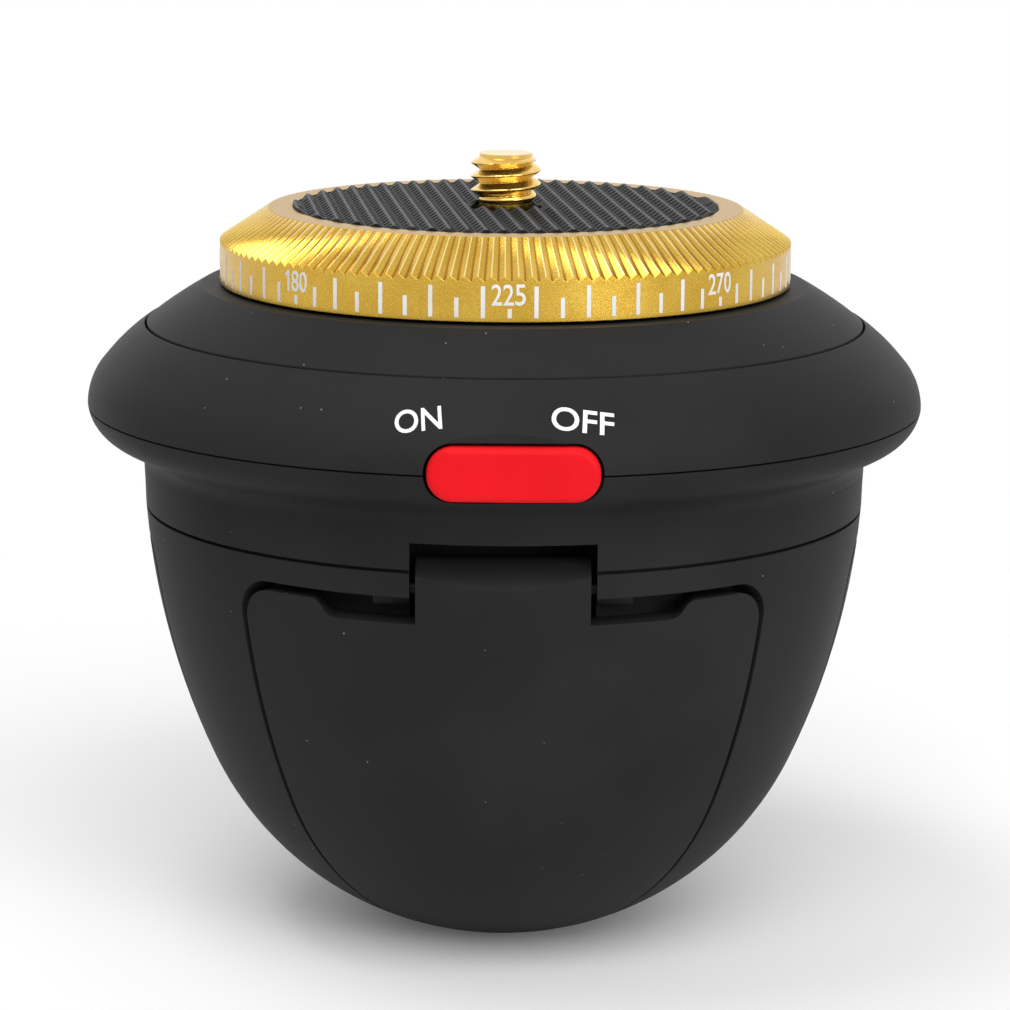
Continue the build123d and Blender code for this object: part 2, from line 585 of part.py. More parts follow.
with BuildPart() as leg_form:
    add(bowl_sector(0.0, LEG_T, LEG_HALF_ANGLE, -REACH, LEG_TOP_Z, LEG_CORNER))
    Cylinder(LEG_TIP_R, 2 * SKIRT_Z, mode=Mode.SUBTRACT)
    with BuildSketch(Plane.XZ):
        with BuildLine():
            cut_in = (SHOULDER_CUT_IN, SHOULDER_CUT_Z)
            cut_out = (SHOULDER_CUT_OUT, LEG_TOP_Z + LEG_GAP / 8)
            over = LEG_TOP_Z + LEG_GAP
            Spline(cut_in, cut_out, tangents=((1, 0), (1, 0)))
            Polyline(cut_out, (SHOULDER_CUT_OUT, over), (0, over), (0, SHOULDER_CUT_Z), cut_in)
        make_face()
        mirror(about=Plane.YZ)
    extrude(amount=REACH, mode=Mode.SUBTRACT)
    add(leg_relief.part, mode=Mode.SUBTRACT)
    add(knuckle.part)
    with BuildSketch(Plane.YZ):
        with Locations((-PIVOT_R, PIVOT_Z)):
            Circle(PIN_R + RUN)
    extrude(amount=KNUCKLE_W, both=True, mode=Mode.SUBTRACT)

for leg_name, turn in LEG_TURNS.items():
    with BuildPart() as leg:
        add(leg_form.part, rotation=(0, 0, turn))
    finish(leg, leg_name)

with BuildPart() as hinge_pin:
    with BuildSketch(Plane.YZ):
        with Locations((-PIVOT_R, PIVOT_Z)):
            Circle(PIN_R)
    extrude(amount=PIN_LENGTH / 2, both=True)

with BuildPart() as hinge_pins:
    for turn in LEG_TURNS.values():
        add(hinge_pin.part, rotation=(0, 0, turn))
finish(hinge_pins, "hinge_pins")

# Button opening and flat, shared by the collar and the upper housing
with BuildPart() as button_opening:
    with BuildSketch(Plane.XZ):
        with Locations((BUTTON_X, BUTTON_Z)):
            RectangleRounded(OPENING_W, OPENING_H, BUTTON_CORNER + BUTTON_GAP)
    extrude(amount=REACH)
    with BuildSketch(Plane.XY.offset(OPENING_LOW_Z - TRUNNION_SEAT)):
        with Locations((BUTTON_X, -ROCK_Y)):
            Circle(TRUNNION_R + RUN)
    extrude(amount=OPENING_H + 2 * TRUNNION_SEAT)

with BuildPart() as button_flat:
    with Locations(Location((0, -FLAT_Y, SEAM_Z), (-FLAT_LEAN, 0, 0))):
        Box(REACH, REACH, REACH, align=(Align.CENTER, Align.MAX, Align.CENTER))

# Collar
with BuildPart() as collar:
    with BuildSketch(Plane.XZ) as section:
        with BuildLine():
            under = (FLANGE_R - FLANGE_RUN, SEAM_Z - FLANGE_DROP)
            ThreePointArc(*bulged(under, (FLANGE_R, SEAM_Z), FLANGE_BULGE))
            Polyline(
                (FLANGE_R, SEAM_Z),
                (FLANGE_R - WALL, SEAM_Z),
                (FLANGE_R - WALL, SEAM_Z - WALL / 2),
                (BOWL_RIM_R - WALL, BOWL_EQUATOR_Z + WALL / 2),
                (BOWL_RIM_R - WALL, COLLAR_FLOOR_Z),
                (COLLAR_BORE_R, COLLAR_FLOOR_Z),
                (COLLAR_BORE_R, SKIRT_Z),
                (bowl_radius(SKIRT_Z), SKIRT_Z),
                (BOWL_RIM_R, BOWL_EQUATOR_Z),
                under,
            )
        make_face()
        waist = section.vertices().sort_by_distance((BOWL_RIM_R, BOWL_EQUATOR_Z, 0))[0]
        fillet(waist, WAIST_FILLET)
    revolve(axis=Axis.Z)
    with BuildSketch(Plane.XY.offset(SKIRT_Z)):
        Circle(SPIGOT_R + FIT)
    extrude(amount=SPIGOT_H + FIT, mode=Mode.SUBTRACT)
    with BuildSketch(Plane.XY.offset(SEAM_Z)):
        Circle(REACH)
        Circle(FLANGE_R - SEAM_GROOVE_DEPTH, mode=Mode.SUBTRACT)
    extrude(amount=-SEAM_GROOVE, mode=Mode.SUBTRACT)
    with BuildSketch(Plane.XY.offset(COLLAR_FLOOR_Z)):
        with Locations(*post_spots):
            Circle(POST_OUTER_R)
    extrude(amount=CHASSIS_Z - COLLAR_FLOOR_Z)
    for turn in LEG_TURNS.values():
        add(knuckle_pocket.part, rotation=(0, 0, turn), mode=Mode.SUBTRACT)
    add(motor_bay.part, mode=Mode.SUBTRACT)
    add(button_flat.part, mode=Mode.SUBTRACT)
    add(button_opening.part, mode=Mode.SUBTRACT)
    with BuildSketch(Plane.XY.offset(CHASSIS_Z)):
        with Locations(*post_spots):
            Circle(SCREW_SHANK_R + FIT)
    extrude(amount=SKIRT_Z + SPIGOT_H - CHASSIS_Z, mode=Mode.SUBTRACT)
    with BuildSketch(Plane.XY.offset(SKIRT_Z)):
        with Locations(*base_spots):
            Circle(SCREW_SHANK_R + FIT)
    extrude(amount=COLLAR_FLOOR, mode=Mode.SUBTRACT)
    with BuildSketch(Plane.XY.offset(COLLAR_FLOOR_Z)):
        with Locations(*board_spots):
            Circle(SCREW_SHANK_R + FIT)
    extrude(amount=-BOARD_SCREW_L, mode=Mode.SUBTRACT)
    with BuildSketch(Plane.XZ):
        with Locations((0, SOCKET_Z)):
            SlotOverall(SOCKET_W + 2 * SOCKET_CLEARANCE, SOCKET_H + 2 * SOCKET_CLEARANCE)
    extrude(amount=-REACH, mode=Mode.SUBTRACT)
finish(collar, "collar")

# Upper housing
with BuildPart() as upper_housing:
    with BuildSketch(Plane.XZ):
        with BuildLine():
            ThreePointArc(*bulged((FLANGE_R, SEAM_Z), (SHOULDER_R, SHOULDER_Z), SHOULDER_BULGE))
            ThreePointArc(*bulged((SHOULDER_R, SHOULDER_Z), (SLOPE_R, SLOPE_Z), SLOPE_BULGE))
            Polyline(
                (SLOPE_R, SLOPE_Z),
                (SLOPE_R - COVER_GAP / 2, SLOPE_Z),
                (SLOPE_R - COVER_GAP / 2, LEDGE_Z),
                (LEDGE_R, LEDGE_Z),
                (LEDGE_R, LEDGE_Z - WALL),
                (SLOPE_R - WALL / 2, LEDGE_Z - WALL),
                (FLANGE_R - WALL, SHOULDER_Z - WALL),
                (FLANGE_R - WALL, SEAM_Z),
                (FLANGE_R, SEAM_Z),
            )
        make_face()
    revolve(axis=Axis.Z)
    with BuildSketch(Plane.XY.offset(CHASSIS_TOP_Z)):
        with Locations(*post_spots):
            Circle(POST_OUTER_R)
    extrude(amount=LEDGE_Z - CHASSIS_TOP_Z)
    with BuildSketch(Plane.XY.offset(LEDGE_Z)):
        with Locations(*post_spots):
            Circle(SCREW_SHANK_R + SCREW_PLAY)
    extrude(amount=CHASSIS_TOP_Z - LEDGE_Z, mode=Mode.SUBTRACT)
    with BuildSketch(Plane.XY.offset(LEDGE_Z)):
        with Locations(*post_spots):
            Circle(HEAD_R + SCREW_PLAY)
    extrude(amount=-HEAD_H - SCREW_PLAY, mode=Mode.SUBTRACT)
    add(button_flat.part, mode=Mode.SUBTRACT)
    add(button_opening.part, mode=Mode.SUBTRACT)
finish(upper_housing, "upper_housing")

# Top cover
with BuildPart() as top_cover:
    edge_r = SLOPE_R - COVER_GAP / 2 - COVER_GAP
    with BuildSketch(Plane.XZ):
        with BuildLine():
            ThreePointArc(*bulged((edge_r, COVER_EDGE_Z), (COVER_FLAT_R, COVER_TOP_Z), COVER_BULGE))
            Polyline(
                (COVER_FLAT_R, COVER_TOP_Z),
                (COVER_HOLE_R, COVER_TOP_Z),
                (COVER_HOLE_R, COVER_TOP_Z - COVER_T),
                (COVER_FLAT_R - COVER_T, COVER_TOP_Z - COVER_T),
                (edge_r - COVER_RIM, COVER_EDGE_Z - COVER_T / 2),
                (edge_r - COVER_RIM, LEDGE_Z),
                (edge_r, LEDGE_Z),
                (edge_r, COVER_EDGE_Z),
            )
        make_face()
    revolve(axis=Axis.Z)
finish(top_cover, "top_cover")

# Chassis plate with the bearing seat
with BuildPart() as chassis_plate:
    with BuildSketch(Plane.XY.offset(CHASSIS_Z)):
        Circle(CHASSIS_R)
        with Locations((BUTTON_X, -SWITCH_BOARD_Y + SWITCH_BOARD_T)):
            board_gap = SWITCH_BOARD_W + 2 * SLACK
            Rectangle(board_gap, REACH, align=(Align.CENTER, Align.MAX), mode=Mode.SUBTRACT)
        with Locations((0, SOCKET_MOUTH_Y - SOCKET_D - BOARD_PLAY)):
            Rectangle(SOCKET_W + 2 * BOARD_PLAY, REACH, align=(Align.CENTER, Align.MIN), mode=Mode.SUBTRACT)
    extrude(amount=CHASSIS_T)
    with BuildSketch(Plane.XY.offset(CHASSIS_Z)):
        Circle(BEARING_BOSS_R)
    extrude(amount=BEARING_TOP_Z - CHASSIS_Z)
    with BuildSketch(Plane.XY.offset(BEARING_Z)):
        Circle(BEARING_R + FIT)
    extrude(amount=BEARING_W, mode=Mode.SUBTRACT)
    with BuildSketch(Plane.XY.offset(CHASSIS_Z)):
        Circle(BEARING_LIP_R)
        with Locations((0, GEAR_DISTANCE)):
            Circle(SHAFT_HOLE_R)
        with Locations(*motor_spots, *post_spots):
            Circle(SCREW_SHANK_R + SCREW_PLAY)
    extrude(amount=CHASSIS_T, mode=Mode.SUBTRACT)
finish(chassis_plate, "chassis_plate")

# Bearing
with BuildPart() as bearing_outer_race:
    with BuildSketch(Plane.XY.offset(BEARING_Z)):
        Circle(BEARING_R)
        Circle(OUTER_RACE_R, mode=Mode.SUBTRACT)
    extrude(amount=BEARING_W)
finish(bearing_outer_race, "bearing_outer_race")

with BuildPart() as bearing_inner_race:
    with BuildSketch(Plane.XY.offset(BEARING_Z)):
        Circle(INNER_RACE_R)
        Circle(SPINDLE_R + FIT, mode=Mode.SUBTRACT)
    extrude(amount=BEARING_W)
finish(bearing_inner_race, "bearing_inner_race")

with BuildPart() as bearing_balls:
    with Locations((0, 0, BEARING_Z + BEARING_W / 2)):
        with PolarLocations(BALL_CIRCLE_R, BALL_COUNT):
            Sphere(BALL_R)
finish(bearing_balls, "bearing_balls")

with BuildPart() as bearing_cage:
    with BuildSketch(Plane.XY.offset(BEARING_Z + (BEARING_W - CAGE_W) / 2)):
        Circle(BALL_CIRCLE_R + CAGE_T / 2)
        Circle(BALL_CIRCLE_R - CAGE_T / 2, mode=Mode.SUBTRACT)
    extrude(amount=CAGE_W)
    with Locations((0, 0, BEARING_Z + BEARING_W / 2)):
        with PolarLocations(BALL_CIRCLE_R, BALL_COUNT):
            Cylinder(BALL_R + CAGE_POCKET, 2 * CAGE_T, rotation=(0, 90, 0), mode=Mode.SUBTRACT)
finish(bearing_cage, "bearing_cage")

# Spindle, gear and clip
with BuildPart() as spindle:
    with BuildSketch(Plane.XY.offset(BEARING_Z - SPINDLE_END)):
        Circle(SPINDLE_R)
    extrude(amount=DIAL_WEB_Z - BEARING_Z + SPINDLE_END)
    with BuildSketch(Plane.XY.offset(DIAL_WEB_Z)):
        Circle(SPINDLE_FLANGE_R)
    extrude(amount=-SPINDLE_FLANGE_T)
    with BuildSketch(Plane.XY.offset(DIAL_WEB_Z)):
        Circle(SCREW_HEAD_R + SLACK)
    extrude(amount=-SCREW_HEAD_H, mode=Mode.SUBTRACT)
    with BuildSketch(Plane.XY.offset(BEARING_Z - SPINDLE_END)):
        Circle(SPINDLE_BORE_R)
    extrude(amount=DIAL_WEB_Z - BEARING_Z + SPINDLE_END, mode=Mode.SUBTRACT)
    with BuildSketch(Plane.XY.offset(BEARING_Z - CLIP_T)):
        Circle(SPINDLE_R)
        Circle(SPINDLE_R - CLIP_GROOVE, mode=Mode.SUBTRACT)
    extrude(amount=CLIP_T, mode=Mode.SUBTRACT)
    with BuildSketch(Plane.XY.offset(DIAL_WEB_Z - SPINDLE_FLANGE_T)):
        with Locations(*dial_spots):
            Circle(SCREW_SHANK_R + SCREW_PLAY)
    extrude(amount=SPINDLE_FLANGE_T, mode=Mode.SUBTRACT)
    with BuildSketch(Plane.XY.offset(DIAL_WEB_Z - SPINDLE_FLANGE_T)):
        with Locations(*dial_spots):
            Circle(HEAD_R + SCREW_PLAY)
    extrude(amount=HEAD_H, mode=Mode.SUBTRACT)
finish(spindle, "spindle")

with BuildPart() as drive_gear:
    with BuildSketch(Plane.XY.offset(GEAR_Z)):
        with BuildLine():
            Polyline(gear_outline(GEAR_TEETH, pi / 2), close=True)
        make_face()
    extrude(amount=GEAR_W)
    with BuildSketch(Plane.XY.offset(BEARING_TOP_Z)):
        Circle(GEAR_HUB_R)
    extrude(amount=GEAR_HUB)
    with BuildSketch(Plane.XY.offset(BEARING_TOP_Z)):
        Circle(SPINDLE_R + FIT)
    extrude(amount=GEAR_HUB + GEAR_W, mode=Mode.SUBTRACT)
finish(drive_gear, "drive_gear")

with BuildPart() as retaining_ring:
    with BuildSketch(Plane.XY.offset(BEARING_Z - CLIP_T)):
        Circle(CLIP_R)
        Circle(SPINDLE_R - CLIP_GROOVE + FIT, mode=Mode.SUBTRACT)
        Rectangle(CLIP_MOUTH, 2 * CLIP_R, align=(Align.CENTER, Align.MIN), mode=Mode.SUBTRACT)
    extrude(amount=CLIP_T)
finish(retaining_ring, "retaining_ring")

# Dial with its serrated bevel
with BuildPart() as dial_ring:
    crest_slope = (DIAL_R - DIAL_RIM_R) / (DIAL_TOP_Z - DIAL_CREST_Z)
    valley_slope = (DIAL_R - DIAL_RIM_R + DIAL_TOP_DEPTH) / (DIAL_TOP_Z - DIAL_VALLEY_Z)
    teeth_z = DIAL_VALLEY_Z - DIAL_TOP_DEPTH
    with BuildSketch(Plane.XY.offset(teeth_z)):
        with BuildLine():
            crest = DIAL_R + (DIAL_CREST_Z - teeth_z) * crest_slope
            valley = DIAL_R + (DIAL_VALLEY_Z - teeth_z) * valley_slope
            Polyline(star(crest, valley, DIAL_TEETH), close=True)
        make_face()
    with BuildSketch(Plane.XY.offset(DIAL_TOP_Z)):
        with BuildLine():
            Polyline(star(DIAL_RIM_R, DIAL_RIM_R - DIAL_TOP_DEPTH, DIAL_TEETH), close=True)
        make_face()
    loft(ruled=True)
    with BuildSketch(Plane.XY.offset(teeth_z)):
        Circle(DIAL_R)
    extrude(amount=DIAL_TOP_Z - teeth_z, mode=Mode.INTERSECT)
    with BuildSketch(Plane.XY.offset(DIAL_Z)):
        Circle(DIAL_R)
    extrude(amount=teeth_z - DIAL_Z)
    with BuildSketch(Plane.XY.offset(DIAL_TOP_Z)):
        Circle(PAD_R + FIT)
    extrude(amount=PAD_FLOOR_Z - DIAL_TOP_Z, mode=Mode.SUBTRACT)
    with BuildSketch(Plane.XY.offset(DIAL_Z)):
        Circle(DIAL_HOLLOW_R)
    extrude(amount=DIAL_WEB_Z - DIAL_Z, mode=Mode.SUBTRACT)
    with BuildSketch(Plane.XY.offset(DIAL_WEB_Z)):
        Circle(SCREW_NECK_R + FIT)
        with Locations(*dial_spots):
            Circle(SCREW_SHANK_R + FIT)
    extrude(amount=DIAL_WEB, mode=Mode.SUBTRACT)
finish(dial_ring, "dial_ring")

# Grip pad with its ribs
with BuildPart() as grip_pad:
    ribs_each_side = int(PAD_R / RIB_PITCH) + 1
    with BuildSketch(Plane.XZ.rotated((0, 0, RIB_SKEW))) as rib_section:
        with BuildLine():
            zigzag = []
            for step in range(-2 * ribs_each_side, 2 * ribs_each_side + 1):
                zigzag.append((step * RIB_PITCH / 2, PAD_VALLEY_Z + (RIB_H if step % 2 else 0.0)))
            side_x = zigzag[-1][0]
            Polyline(*zigzag, (side_x, PAD_FLOOR_Z), (-side_x, PAD_FLOOR_Z), close=True)
        make_face()
        corners = rib_section.vertices()
        bends = [v for v in corners if v.Y > PAD_FLOOR_Z + PAD_T / 2 and abs(v.X) < side_x - RIB_H]
        fillet(bends, RIB_ROUND)
    extrude(amount=REACH, both=True)
    with BuildSketch(Plane.XY.offset(PAD_FLOOR_Z)):
        Circle(PAD_R)
        Circle(SCREW_R + SCREW_COLLAR_GAP, mode=Mode.SUBTRACT)
    extrude(amount=PAD_T + RIB_H, mode=Mode.INTERSECT)
finish(grip_pad, "grip_pad")

# Camera screw, its head held between the dial and the spindle
with BuildPart() as camera_screw:
    with BuildSketch(Plane.XY.offset(HEAD_POCKET_Z)):
        RegularPolygon(SCREW_HEAD_R, 6)
    extrude(amount=SCREW_HEAD_H)
    with BuildSketch(Plane.XY.offset(DIAL_WEB_Z)):
        Circle(SCREW_NECK_R)
    extrude(amount=PAD_TOP_Z - DIAL_WEB_Z)
    with BuildSketch(Plane.XY.offset(PAD_TOP_Z)):
        Circle(SCREW_R)
    extrude(amount=SCREW_TOP_Z - PAD_TOP_Z)
    tip = camera_screw.edges().filter_by(GeomType.CIRCLE).sort_by(Axis.Z)[-1]
    chamfer(tip, SCREW_TIP)
finish(camera_screw, "camera_screw")

# Gear motor
with BuildPart() as motor_gearbox:
    with Locations((0, GEAR_DISTANCE, CHASSIS_Z)):
        Box(MOTOR_W, MOTOR_D, GEARBOX_H, align=(Align.CENTER, Align.CENTER, Align.MAX))
    with BuildSketch(Plane.XY.offset(CHASSIS_Z)):
        with Locations((0, GEAR_DISTANCE)):
            Circle(SHAFT_R + RUN)
        with Locations(*motor_spots):
            Circle(SCREW_SHANK_R + FIT)
    extrude(amount=-SHAFT_SUNK - SLACK, mode=Mode.SUBTRACT)
finish(motor_gearbox, "motor_gearbox")

can_top = CHASSIS_Z - GEARBOX_H
with BuildPart() as motor_can:
    with BuildSketch(Plane.XY.offset(can_top)):
        with Locations((0, GEAR_DISTANCE)):
            Circle(MOTOR_W / 2)
            Rectangle(MOTOR_W, MOTOR_D, mode=Mode.INTERSECT)
    extrude(amount=-CAN_H)
finish(motor_can, "motor_can")

with BuildPart() as motor_end_cap:
    with BuildSketch(Plane.XY.offset(can_top - CAN_H)):
        with Locations((0, GEAR_DISTANCE)):
            Circle(END_CAP_R)
    extrude(amount=-END_CAP_H)
finish(motor_end_cap, "motor_end_cap")

with BuildPart() as motor_shaft:
    with BuildSketch(Plane.XY.offset(CHASSIS_Z - SHAFT_SUNK)):
        with Locations((0, GEAR_DISTANCE)):
            Circle(SHAFT_R)
    extrude(amount=GEAR_Z + GEAR_W - CHASSIS_Z + SHAFT_SUNK)
finish(motor_shaft, "motor_shaft")

with BuildPart() as pinion_gear:
    with BuildSketch(Plane((0, GEAR_DISTANCE, GEAR_Z))):
        with BuildLine():
            Polyline(gear_outline(PINION_TEETH, pi / 2), close=True)
        make_face()
        Circle(SHAFT_R + FIT, mode=Mode.SUBTRACT)
    extrude(amount=GEAR_W)
finish(pinion_gear, "pinion_gear")

# Battery on the foot, under a foam pad
with BuildPart() as battery_cell:
    body_h = BATTERY_H - BATTERY_TERMINAL_H
    with Locations((0, 0, BATTERY_FLOOR_Z)):
        Cylinder(BATTERY_R, body_h, align=(Align.CENTER, Align.CENTER, Align.MIN))
    with Locations((0, 0, BATTERY_FLOOR_Z + body_h)):
        Cylinder(BATTERY_TERMINAL_R, BATTERY_TERMINAL_H, align=(Align.CENTER, Align.CENTER, Align.MIN))
finish(battery_cell, "battery_cell")

with BuildPart() as battery_pad:
    with BuildSketch(Plane.XY.offset(BATTERY_TOP_Z)):
        Circle(BATTERY_R)
    extrude(amount=COLLAR_FLOOR_Z - BATTERY_TOP_Z)
finish(battery_pad, "battery_pad")

# Main board on the collar's floor
with BuildPart() as main_board:
    with BuildSketch(Plane.XY.offset(COLLAR_FLOOR_Z)):
        Circle(BOARD_R)
        with Locations((BUTTON_X, -SWITCH_BOARD_Y + SWITCH_BOARD_T + BOARD_PLAY)):
            Rectangle(REACH, REACH, align=(Align.CENTER, Align.MAX), mode=Mode.SUBTRACT)
        with Locations((0, GEAR_DISTANCE)):
            Rectangle(MOTOR_W + 2 * BOARD_PLAY, MOTOR_D + 2 * BOARD_PLAY, mode=Mode.SUBTRACT)
        with Locations(*post_spots):
            Circle(POST_OUTER_R + BOARD_PLAY, mode=Mode.SUBTRACT)
        with Locations(*board_spots):
            Circle(SCREW_SHANK_R + SCREW_PLAY, mode=Mode.SUBTRACT)
    extrude(amount=BOARD_T)
finish(main_board, "main_board")

with BuildPart() as board_components:
    for spot, size in zip(CHIP_SPOTS, CHIP_SIZES):
        with Locations((*spot, BOARD_TOP_Z)):
            Box(*size, align=(Align.CENTER, Align.CENTER, Align.MIN))
finish(board_components, "board_components")

with BuildPart() as charge_socket:
    with BuildSketch(Plane.XZ.offset(-SOCKET_MOUTH_Y)):
        with Locations((0, SOCKET_Z)):
            SlotOverall(SOCKET_W, SOCKET_H)
    extrude(amount=SOCKET_D)
    with BuildSketch(Plane.XZ.offset(-SOCKET_MOUTH_Y)):
        with Locations((0, SOCKET_Z)):
            SlotOverall(SOCKET_W - 2 * SOCKET_WALL, SOCKET_H - 2 * SOCKET_WALL)
            SlotOverall(TONGUE_W, TONGUE_T, mode=Mode.SUBTRACT)
    extrude(amount=SOCKET_D - SOCKET_BACK, mode=Mode.SUBTRACT)
finish(charge_socket, "charge_socket")

# Switch board and switches behind the button
with BuildPart() as switch_board:
    with BuildSketch(Plane.XZ.offset(SWITCH_BOARD_Y)):
        with Locations((BUTTON_X, COLLAR_FLOOR_Z)):
            Rectangle(
                SWITCH_BOARD_W,
                SWITCH_BOARD_TOP - COLLAR_FLOOR_Z,
                align=(Align.CENTER, Align.MIN),
            )
    extrude(amount=-SWITCH_BOARD_T)
finish(switch_board, "switch_board")

with BuildPart() as tact_switches:
    for side in (-1, 1):
        with BuildSketch(Plane.XZ.offset(SWITCH_BOARD_Y)):
            with Locations((BUTTON_X + side * POST_SPREAD, BUTTON_Z)):
                Rectangle(SWITCH_W, SWITCH_H)
        extrude(amount=SWITCH_T)
        with BuildSketch(Plane.XZ.offset(SWITCH_BOARD_Y + SWITCH_T)):
            with Locations((BUTTON_X + side * POST_SPREAD, BUTTON_Z)):
                Circle(PLUNGER_R)
        extrude(amount=PLUNGER_T)
finish(tact_switches, "tact_switches")

# Rocker button on its trunnion
with BuildPart() as rocker_button:
    with BuildSketch(Plane.XZ.offset(BUTTON_BACK_Y)):
        with Locations((BUTTON_X, BUTTON_Z)):
            RectangleRounded(BUTTON_W, BUTTON_H, BUTTON_CORNER)
    extrude(amount=BUTTON_DEPTH)
    with BuildSketch(Plane.XY.offset(BUTTON_Z)):
        with Locations((BUTTON_X, BUTTON_BOW_R - BUTTON_FACE_Y)):
            Circle(BUTTON_BOW_R)
    extrude(amount=BUTTON_H, both=True, mode=Mode.INTERSECT)
    fillet(rocker_button.faces().sort_by(Axis.Y)[0].edges(), BUTTON_EDGE)
    with BuildSketch(Plane.XZ.offset(ROCK_Y)):
        with Locations((BUTTON_X, BUTTON_Z)):
            Rectangle(STEM_W, BUTTON_H - 2 * SLACK)
    extrude(amount=BUTTON_BACK_Y - ROCK_Y)
    with BuildSketch(Plane.XZ.offset(PLUNGER_TIP_Y + SLACK)):
        for side in (-1, 1):
            with Locations((BUTTON_X + side * POST_SPREAD, BUTTON_Z)):
                Circle(POST_R)
    extrude(amount=BUTTON_BACK_Y - PLUNGER_TIP_Y - SLACK)
    trunnion_end = TRUNNION_SEAT - TRUNNION_PLAY
    with BuildSketch(Plane.XY.offset(OPENING_LOW_Z - trunnion_end)):
        with Locations((BUTTON_X, -ROCK_Y)):
            Circle(TRUNNION_R)
    extrude(amount=OPENING_H + 2 * trunnion_end)
finish(rocker_button, "rocker_button")

# Fasteners
screw_set("base_screws", base_spots, BASE_SCREW_SEAT_Z, BASE_SCREW_L, True)
housing_seat = LEDGE_Z - HEAD_H - SCREW_PLAY
housing_length = housing_seat - SKIRT_Z - SPIGOT_H - SCREW_PLAY
screw_set("housing_screws", post_spots, housing_seat, housing_length, False)
screw_set("motor_screws", motor_spots, CHASSIS_TOP_Z, CHASSIS_T + SHAFT_SUNK, False)
board_length = BOARD_T + BOARD_SCREW_L - SCREW_PLAY
screw_set("board_screws", board_spots, BOARD_TOP_Z, board_length, False)
dial_seat = DIAL_WEB_Z - SPINDLE_FLANGE_T + HEAD_H
screw_set("dial_screws", dial_spots, dial_seat, DIAL_SCREW_L, True)
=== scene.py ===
"""Blender scene of a motorized panoramic head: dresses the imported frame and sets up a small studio."""

import json
import logging
import math
from dataclasses import dataclass, field
from enum import Enum
from typing import Any, Callable, Dict, List, Optional, Sequence, Tuple, Union

import bmesh
import bpy
from bpy.types import Material, Mesh, Node, NodeSocket, NodeTree, Object
from mathutils import Matrix, Vector
from mathutils.bvhtree import BVHTree

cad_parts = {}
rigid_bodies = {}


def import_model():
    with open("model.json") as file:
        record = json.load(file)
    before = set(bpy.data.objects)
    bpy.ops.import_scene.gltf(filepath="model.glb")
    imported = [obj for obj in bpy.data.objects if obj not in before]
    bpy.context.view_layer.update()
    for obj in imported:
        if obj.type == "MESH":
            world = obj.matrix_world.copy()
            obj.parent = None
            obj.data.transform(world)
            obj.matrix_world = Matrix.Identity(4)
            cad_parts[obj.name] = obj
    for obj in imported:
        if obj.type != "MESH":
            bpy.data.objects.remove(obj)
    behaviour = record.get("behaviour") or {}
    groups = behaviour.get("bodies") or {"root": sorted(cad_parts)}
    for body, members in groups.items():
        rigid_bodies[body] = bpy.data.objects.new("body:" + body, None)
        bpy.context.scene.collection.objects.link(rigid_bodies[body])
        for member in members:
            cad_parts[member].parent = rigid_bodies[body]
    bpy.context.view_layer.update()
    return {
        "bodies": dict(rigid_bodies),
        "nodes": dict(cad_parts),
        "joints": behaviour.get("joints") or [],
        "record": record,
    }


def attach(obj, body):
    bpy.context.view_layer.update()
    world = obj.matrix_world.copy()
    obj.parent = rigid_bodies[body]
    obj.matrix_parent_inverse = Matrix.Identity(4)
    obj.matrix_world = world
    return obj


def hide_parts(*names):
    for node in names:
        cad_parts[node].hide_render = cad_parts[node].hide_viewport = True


LOG = logging.getLogger("panoramic_head")
MM = 0.001
FRONT = -90.0  # degrees from +X to the side with the button
SHARP_EDGE = 40.0  # degrees
THREAD_MAJOR = 3.175 * MM
THREAD_PITCH = 1.27 * MM
PAD_SKEW = 6.5  # degrees
PAD_RUNG = 1.53 * MM
PAD_VALLEY = 66.5 * MM

Color = Tuple[float, float, float]
Spot = Tuple[float, float, float]
Span = Tuple[float, float]  # where a change starts and where it ends
Outline = Tuple[Tuple[float, float], ...]
Number = Union[int, float, "Expr"]
Settings = Dict[str, Any]
Inputs = Dict[Union[str, int], Any]
Ground = Callable[[float, float], Tuple[Vector, Vector]]  # a surface's point and normal for a flat place


class Body(Enum):
    """Bodies of the frame that carry the pieces made here."""

    HOUSING = "body"
    TURNTABLE = "turntable"


class Slot(Enum):
    """Material slots of the record that match the pieces made here."""

    PRINT = "white_acetal"
    GOLD_SCREW = "gold_screw"
    BRASS = "brass"
    STEEL = "steel"
    RUBBER = "grip_rubber"


